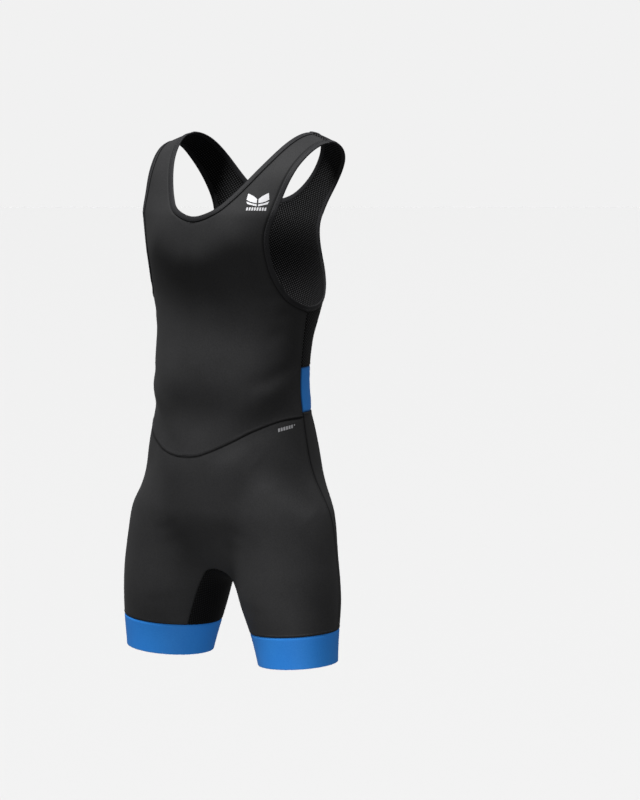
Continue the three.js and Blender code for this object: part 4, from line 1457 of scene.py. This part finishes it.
@dataclass
class Prints:
    """The generic motifs pressed on the cloth, the label at the neck, and the blocks on the waistband."""

    shop: Workshop
    film: float = 0.22
    cell: float = 3.5
    cloth_half: float = 0.6
    band_half: float = 0.7
    label_size: tuple[float, float] = (28, 9)
    label_rise: float = 0.15
    sink: float = 0.03
    blocks: int = 7
    block_width: float = 30
    block_height: float = 44
    block_pitch: float = 38
    block_slant: float = 10
    block_slot: float = 4.5
    slot_rise: float = 0.35
    slot_lean: float = 0.3

    def shapes(self, name: str, spot: Spot | None, shapes: Sequence[Corners], finish: Finish, slot: str,
               nodes: Sequence[str], base: float) -> Piece:
        """Makes one film of four-cornered shapes.

        Args:
            name: The piece's name.
            spot: Where it lies, or None for a place on the waistband.
            shapes: The shapes, in millimetres.
            finish: The film's finish.
            slot: The record's material slot.
            nodes: CAD nodes that it stands for.
            base: Height of the cloth's face above the form.

        Returns:
            The piece.
        """
        points, faces, flats, count = [], [], [], 0
        for corners in shapes:
            a, b, c, d = (np.array(corner, float) for corner in corners)
            wide = max(2, int(max(np.linalg.norm(b - a), np.linalg.norm(c - d)) / self.cell) + 1)
            high = max(2, int(max(np.linalg.norm(d - a), np.linalg.norm(c - b)) / self.cell) + 1)
            u = np.linspace(0, 1, wide + 1)[None, :, None]
            v = np.linspace(0, 1, high + 1)[:, None, None]
            flat = a * (1 - u) * (1 - v) + b * u * (1 - v) + c * u * v + d * (1 - u) * v
            place = flat.reshape(-1, 2)
            laid = spot.lay(self.shop.form, place) if spot else self.on_band(place)
            sheet = Sheet(self.shop.form)
            sheet.add(laid.reshape(high + 1, wide + 1, 3), flat)
            lift = base + self.film / 2 - self.sink
            built, quads, cut = shell(sheet, self.film / 2, lift)
            under = len(built) // 2
            built[under:] += self.shop.form.outward(built[under:]) * lift
            points.append(built)
            flats.append(cut)
            faces += [[k + count for k in quad] for quad in quads]
            count += len(built)
        return self.shop.piece(name, np.vstack(points), faces, np.vstack(flats), finish, slot, nodes)

    def on_band(self, place: Array) -> Array:
        """Points on the waistband's middle, by distance along it and height."""
        pattern = self.shop.pattern
        middle = (pattern.band_top + pattern.band_bottom) / 2
        line = pattern.level(middle, pattern.band_end.at(np.array([0.5]))[0])
        spot = line.at(np.abs(place[:, 0]) / line.length)
        spot[:, 0] *= -np.sign(place[:, 0])
        height = spot[:, 2] + place[:, 1]
        return self.shop.form.settle(np.column_stack([spot[:, :2], height]), 8, lambda p: height)

    def block(self, k: int) -> list[Corners]:
        """The two halves of one slanted block, with a slot between them."""
        centre = (k - (self.blocks - 1) / 2) * self.block_pitch
        sizes = (self.block_width, self.block_height, self.block_slant, self.block_slot)
        w, h, lean, slot = (size / 2 for size in sizes)
        rise, out = h * self.slot_rise, lean * self.slot_lean
        lower = ((centre - w - lean, -h), (centre + w - lean, -h),
                 (centre + w + out, rise - slot), (centre - w - out, -rise - slot))
        upper = ((centre - w - out, -rise + slot), (centre + w + out, rise + slot),
                 (centre + w + lean, h), (centre - w + lean, h))
        return [lower, upper]

    def make(self) -> list[Piece]:
        """Makes every print and the label."""
        f, cloth, label = self.shop.finishes, self.cloth_half, self.cloth_half + self.label_rise
        neck = Spot((0, 120, -119), (-1, 0, 0))
        w, h = (size / 2 for size in self.label_size)
        sheet = (((-w, -h), (w, -h), (w, h), (-w, h)),)
        rows = [
            ("chest_print", Spot((97, -66, -108), (1, 0.45, 0)), EMBLEM, f.white, "white_print", cloth),
            ("back_print", Spot((0, 100, -345), (-1, 0, 0), 0.92), EMBLEM, f.white, "white_print", cloth),
            ("hip_print", Spot((132, -38, -458), (13, 33, 6)), HIP_BARS, f.grey, "grey_print", cloth),
            ("neck_label", neck, sheet, f.satin, "label", label),
            ("neck_label_weave", neck, LABEL_BARS, f.white, "white_print", label + self.film),
            *((f"waistband_print_{k + 1}", None, self.block(k), f.navy, "navy_print", self.band_half)
              for k in range(self.blocks)),
        ]
        out = []
        for name, spot, shapes, finish, slot, base in rows:
            nodes = () if name == "neck_label_weave" else (name,)
            out.append(self.shapes(name, spot, shapes, finish, slot, nodes, base))
        return out


@dataclass
class Stitching:
    """Rows of sewn stitches along the seams and the bindings."""

    shop: Workshop
    length: float = 2.6
    pitch: float = 3.4
    radius: float = 0.28
    sides: int = 5
    inset: float = 4.2
    binding_inset: float = 5.9
    cloth: float = 0.6
    binding_lift: float = 1.45
    # place along half a stitch, share of the radius, and height, ring by ring
    profile: tuple[Point, ...] = ((-1, 0.5, -0.3), (-0.55, 1, 0.1), (0.55, 1, 0.1), (1, 0.5, -0.3))

    def row(self, points: Array, lift: float) -> tuple[Array, list[list[int]]]:
        """Stitches along a line.

        Args:
            points: Points of the line.
            lift: Height of the cloth's face above the form.

        Returns:
            Points and faces with five corners or fewer, as rows of point numbers.
        """
        form = self.shop.form
        line = Line.through(points)
        count = int(line.length / self.pitch)
        place = (np.arange(count) + 0.5) / count
        centre = form.settle(line.at(place), 3)
        reach = self.length / 2 / line.length
        along = line.at(np.minimum(place + reach, 1)) - line.at(np.maximum(place - reach, 0))
        along /= np.linalg.norm(along, axis=1, keepdims=True)
        outward = form.outward(centre)
        side = np.cross(outward, along)
        angle = 2 * math.pi * np.arange(self.sides) / self.sides
        cos, sin = np.cos(angle)[None, :, None], np.sin(angle)[None, :, None]
        rings = []
        for shift, thick, rise in self.profile:
            middle = centre + along * shift * self.length / 2 + outward * (lift + rise)
            ring = self.radius * thick * (side[:, None] * cos + outward[:, None] * sin)
            rings.append(middle[:, None] + ring)
        verts = np.stack(rings, axis=1).reshape(-1, 3)
        n, last = self.sides, len(self.profile) - 1
        turn = np.arange(n)
        quads = np.vstack([np.stack([k * n + turn, k * n + (turn + 1) % n, (k + 1) * n + (turn + 1) % n,
                                     (k + 1) * n + turn], axis=1) for k in range(last)])
        start = (np.arange(count) * (last + 1) * n)[:, None, None]
        faces = (quads[None] + start).reshape(-1, 4)
        caps = np.vstack([turn[::-1], last * n + turn])
        return verts, [*faces.tolist(), *(caps[None] + start).reshape(-1, n).tolist()]

    def joined(self, name: str, rows: Sequence[tuple[Array, float]], finish: Finish, slot: str) -> Piece:
        """Rows of stitches as one piece."""
        verts, faces, count = [], [], 0
        for points, lift in rows:
            some, more = self.row(points, lift)
            verts.append(some)
            faces += [[k + count for k in face] for face in more]
            count += len(some)
        return self.shop.piece(name, np.vstack(verts), faces, None, finish, slot)

    def beside(self, line: Line, distance: float) -> Array:
        """A line beside a seam on the left side of the garment; a positive distance lies to its left."""
        return self.shop.pattern.shifted(line.points, distance, False)

    def twice(self, *rows: tuple[Line, float]) -> list[tuple[Array, float]]:
        """Rows beside some seams, each at its own distance, and their mirror images."""
        return [(row, self.cloth) for line, distance in rows for row in both(self.beside(line, distance))]

    def make(self) -> list[Piece]:
        """Makes every row."""
        p, f = self.shop.pattern, self.shop.finishes
        inset = self.inset
        flank = Line.through(np.vstack([p.flank.points, p.band_end.points[1:], p.hip.points[1:]]))
        leg_front, _, leg_back = p.leg_round(0)
        left, right = p.front_seam
        front_rows = [
            (self.beside(left, inset), self.cloth),
            (self.beside(right, inset) * [-1, 1, 1], self.cloth),
            *self.twice((flank, -inset), (p.shoulder, -inset)),
        ]
        back_rows = self.twice((p.band_top_line, -inset))
        short_rows = self.twice((p.leg_side, -inset), (p.gusset_front, inset), (p.gusset_back, -inset),
                                (leg_front, inset), (leg_back, -inset), (p.band_bottom_line, inset))
        share, lift = self.binding_inset / p.binding_width, self.binding_lift
        rows = []
        for edge, seam in ((p.neck_edge, p.neck_seam), (p.arm_edge, p.arm_seam)):
            ring = edge * (1 - share) + seam * share
            rows.append((np.vstack([ring, ring[:1]]), lift))
        rows.append((rows[1][0] * [-1, 1, 1], lift))
        return [self.joined("front_torso_stitches", front_rows, f.thread, "smooth_knit"),
                self.joined("back_torso_stitches", back_rows, f.thread, "mesh"),
                self.joined("shorts_stitches", short_rows, f.thread, "smooth_knit"),
                self.joined("binding_stitches", rows, f.thread, "binding")]


# ---------------------------------------------------------------- studio


@dataclass
class Studio:
    """A pale floor and backdrop, soft plain light, and the camera."""

    floor_height: float = -1.45
    distance: float = 4.0
    azimuth: float = math.radians(35)
    pitch: float = math.radians(6.07)
    yaw: float = math.radians(2.02)
    lens: float = 140.6
    paper: str = "#d1d1d1"
    low_lamp_size: float = 0.5
    low_lamp_spread: float = math.radians(110)
    ambient: float = 0.12
    backdrop: float = 0.88

    def camera(self) -> None:
        """Places the camera."""
        data = bpy.data.cameras.new("camera")
        data.lens = self.lens
        data.sensor_width = 36
        data.sensor_fit = "HORIZONTAL"
        data.clip_end = 50
        camera = bpy.data.objects.new("camera", data)
        bpy.context.collection.objects.link(camera)
        sin, cos = math.sin(self.azimuth), math.cos(self.azimuth)
        right = Vector((cos, sin, 0))
        up = Vector((0, 0, 1))
        ahead = Vector((-sin, cos, 0)) * math.cos(self.yaw) + right * math.sin(self.yaw)
        view = ahead * math.cos(self.pitch) - up * math.sin(self.pitch)
        side = view.cross(up).normalized()
        frame_matrix = Matrix((side, side.cross(view), -view)).transposed().to_4x4()
        frame_matrix.translation = Vector((sin, -cos, 0)) * self.distance
        camera.matrix_world = frame_matrix
        bpy.context.scene.camera = camera

    def floor(self) -> None:
        """Lays the floor, which throws no light back up on the garment."""
        bpy.ops.object.select_all(action="DESELECT")
        bpy.ops.mesh.primitive_plane_add(size=600, location=(0, 0, self.floor_height))
        plane = bpy.context.active_object
        plane.name = "floor"
        material = bpy.data.materials.new("matt_paper")
        material.use_nodes = True
        shader = material.node_tree.nodes["Principled BSDF"]
        shader.inputs["Base Color"].default_value = linear(self.paper)
        shader.inputs["Roughness"].default_value = 0.9
        plane.data.materials.append(material)
        plane.visible_diffuse = False
        plane.visible_glossy = False

    def hang(self, data: bpy.types.Light, place: Point, aim: Point) -> Piece:
        """Hangs a lamp, turned towards its aim."""
        lamp = bpy.data.objects.new(data.name, data)
        lamp.location = place
        lamp.rotation_euler = (Vector(place) - Vector(aim)).to_track_quat("Z", "Y").to_euler()
        bpy.context.collection.objects.link(lamp)
        return lamp

    def lamp(self, name: str, place: Point, spread: float, power: float) -> None:
        """Adds a wide soft light that comes from one direction."""
        data = bpy.data.lights.new(name, "SUN")
        data.angle = spread
        data.energy = power
        self.hang(data, place, (0, 0, 0))

    def low_lamp(self, name: str, place: Point, aim: Point, power: float) -> None:
        """Adds a small soft light in front of the legs, aimed up at them."""
        data = bpy.data.lights.new(name, "AREA")
        data.shape = "DISK"
        data.size = self.low_lamp_size
        data.spread = self.low_lamp_spread
        data.energy = power
        self.hang(data, place, aim).visible_camera = False

    def light(self) -> None:
        """Adds the lamps and the pale surroundings, which light the cloth less than they show."""
        self.lamp("key", (-0.4, -1.05, 3.0), math.radians(18), 3.6)
        self.lamp("back_key", (0.6, 1.7, 2.2), math.radians(25), 0.9)
        self.low_lamp("low_fill", (0.45, -0.65, -1.15), (0.04, -0.05, -0.76), 0.8)
        world = bpy.data.worlds.new("pale_room")
        world.use_nodes = True
        tree = world.node_tree
        shader = tree.nodes["Background"]
        seen = add_node(tree, "ShaderNodeLightPath").outputs["Is Camera Ray"]
        strength = add_node(tree, "ShaderNodeMix", {"data_type": "FLOAT"}, {
            0: seen, 2: self.ambient, 3: self.backdrop})
        tree.links.new(strength.outputs[0], shader.inputs["Strength"])
        shader.inputs["Color"].default_value = linear("#ffffff")
        bpy.context.scene.world = world
        bpy.context.scene.view_settings.view_transform = "Standard"

    def make(self) -> None:
        """Sets the whole studio up."""
        self.camera()
        self.floor()
        self.light()


# ---------------------------------------------------------------- the whole garment

TRUNK_ROWS: tuple[tuple[float, ...], ...] = (
    # height, half width, front depth, front roundness, back depth, back roundness, centre
    (20, 300, 112, 2.1, 130, 2.2, 60),
    (-30, 285, 112, 2.1, 129, 2.2, 43),
    (-62, 240, 112, 2.1, 125, 2.2, 32),
    (-95, 190, 112, 2.1, 118, 2.25, 21),
    (-130, 163, 113, 2.1, 113, 2.3, 9),
    (-190, 150, 110, 2.1, 119, 2.4, 5),
    (-241, 146, 99, 2.05, 123, 2.4, 7),
    (-318, 134, 92, 2.1, 107, 2.2, 3),
    (-366, 132, 100, 2.2, 99, 2.1, 0),
    (-405, 134, 103, 2.2, 98, 2.1, -2),
    (-440, 138, 100, 2.1, 100, 2.1, -2),
    (-500, 147, 104, 2.1, 107, 2.2, 0),
    (-550, 157, 105, 2.2, 109, 2.2, 0),
    (-600, 168, 102, 2.2, 110, 2.2, 0),
    (-660, 174, 94, 2.2, 102, 2.2, 0),
    (-720, 170, 88, 2.2, 92, 2.2, 0),
)
THIGH_ROWS: tuple[tuple[float, ...], ...] = (
    # height, distance of the leg's axis from the middle, long and short half width
    (-500, 72, 70, 66), (-560, 82, 78, 74), (-620, 93, 87, 82), (-690, 104, 91, 83),
    (-745, 112, 87, 79), (-790, 119, 80, 69.5), (-835, 125, 72, 63), (-880, 131, 67, 59),
)
CHEST_CREASES: tuple[Crease, ...] = (
    # the chest stands forward of the belly, and its lower edge falls in shade
    Crease(((64, -100, -166), (26, -106, -196)), 37, -7.0, False),
    Crease(((108, -76, -262), (50, -98, -270), (6, -102, -266)), 30, 0.8, False),
    Crease(((104, -72, -424), (52, -94, -430), (4, -102, -430)), 58, 4.0, False),
    # a soft groove runs down the middle of the chest
    Crease(((0, -104, -150), (0, -106, -232)), 16, 0.8),
    # wrinkles fan out below the armholes
    Crease(((140, -24, -236), (112, -64, -256), (84, -86, -262)), 9, 1.2),
    Crease(((140, 2, -262), (118, -56, -290)), 10, 1.0),
)
SIDE_CREASES: tuple[Crease, ...] = (
    # soft wrinkles across the flanks and the small of the back
    Crease(((128, -30, -300), (104, -72, -330)), 12, 0.9),
    Crease(((132, 6, -350), (112, -62, -384), (84, -86, -392)), 12, 1.3),
    Crease(((130, 20, -430), (108, 66, -452)), 13, 1.3),
    Crease(((124, 30, -310), (88, 84, -330), (50, 98, -336)), 13, 1.4),
    Crease(((122, 40, -396), (80, 84, -408)), 12, 1.2),
)
LEG_CREASES: tuple[Crease, ...] = (
    # the groin, and the fold under the seat
    Crease(((104, -84, -500), (52, -72, -640)), 26, 4, False),
    Crease(((36, 100, -652), (108, 84, -668)), 26, 3, False),
    # the thigh's outer groin shade
    Crease(((104, -84, -506), (136, -62, -540), (164, -26, -600)), 24, 5.5),
    # small wrinkles at the crotch and above the cuffs
    Crease(((18, -84, -600), (62, -92, -626), (96, -90, -632)), 9, 0.5),
    Crease(((12, -70, -636), (60, -88, -654)), 8, 0.5),
    Crease(((46, -52, -742), (92, -82, -752), (140, -60, -744)), 12, 0.8),
    Crease(((160, -20, -700), (172, 20, -716), (150, 62, -722)), 12, 1.0),
    Crease(((60, 66, -742), (108, 82, -752), (150, 56, -744)), 12, 0.8),
    Crease(((28, 92, -690), (64, 92, -712)), 10, 1.2),
    Crease(((0, 104, -560), (0, 106, -640)), 15, 1.4),
)
MAIN_CREASES: tuple[Crease, ...] = (
    *(side for crease in (*CHEST_CREASES, *SIDE_CREASES, *LEG_CREASES)
      for side in (crease, crease.mirrored())),
    # the fold that runs in from the wearer's left hip
    Crease(((134, -24, -420), (104, -70, -454), (62, -92, -486), (14, -100, -512)), 20, 4.0),
    Crease(((134, -36, -384), (100, -74, -414), (40, -100, -442)), 18, -1.6),
    Crease(((-132, -38, -425), (-92, -82, -452)), 18, 2),
)


@dataclass(frozen=True)
class Cut:
    """The flat cut of a sheet before it is stretched over its wearer's form, in metres and square metres."""

    width: float
    length: float
    area: float | None = None
    rides_with: tuple[str, ...] = ()

    def declare(self, piece: Piece, others: dict[str, Piece]) -> None:
        """Does nothing; the cut and the prints and stitches that ride with it are only listed."""


# Each panel is worn stretched about 12% in width and 5% in length, and each binding 5% in length.
CUTS: dict[str, Cut] = {
    "front_torso": Cut(0.337, 0.560, 0.1136, ("chest_print", "front_torso_stitches")),
    "back_torso": Cut(0.361, 0.413, 0.0758, (
        "back_print", "neck_label", "neck_label_weave", "back_torso_stitches")),
    "back_waistband": Cut(0.337, 0.068, 0.0224, tuple(f"waistband_print_{k}" for k in range(1, 8))),
    "front_shorts": Cut(0.472, 0.345, 0.1286, ("hip_print", "shorts_stitches")),
    "back_shorts": Cut(0.401, 0.367, 0.1289),
    "gusset": Cut(0.191, 0.092, 0.0162),
    "cuff_left": Cut(0.418, 0.050),
    "cuff_right": Cut(0.418, 0.050),
    "neck_binding": Cut(0.0186, 0.890, None, ("binding_stitches",)),
    "armhole_binding_left": Cut(0.0186, 0.702),
    "armhole_binding_right": Cut(0.0186, 0.702),
}


def main() -> None:
    """Builds the garment and its studio, piece by piece."""
    logging.basicConfig(level=logging.INFO, format="%(name)s %(message)s")
    form = Form(Rings(TRUNK_ROWS), Rings(THIGH_ROWS), list(MAIN_CREASES))
    shop = Workshop(Pattern(form), Finishes())
    LOG.info("pattern drawn")
    torso, shorts = Torso(shop), Shorts(shop)
    pieces = [torso.front(), torso.back(), torso.waistband(), shorts.front(), shorts.back(), shorts.gusset()]
    pieces += Cuffs(shop).make()
    pieces += Bindings(shop).make()
    prints = Prints(shop).make()
    stitches = Stitching(shop).make()
    LOG.info("%d panels, %d prints, %d sets of stitches", len(pieces), len(prints), len(stitches))
    made = {piece.name.partition(".")[0]: piece for piece in (*pieces, *prints, *stitches)}
    for name, cut in CUTS.items():
        cut.declare(made[name], made)
    Studio().make()


if __name__ == "__main__":
    main()
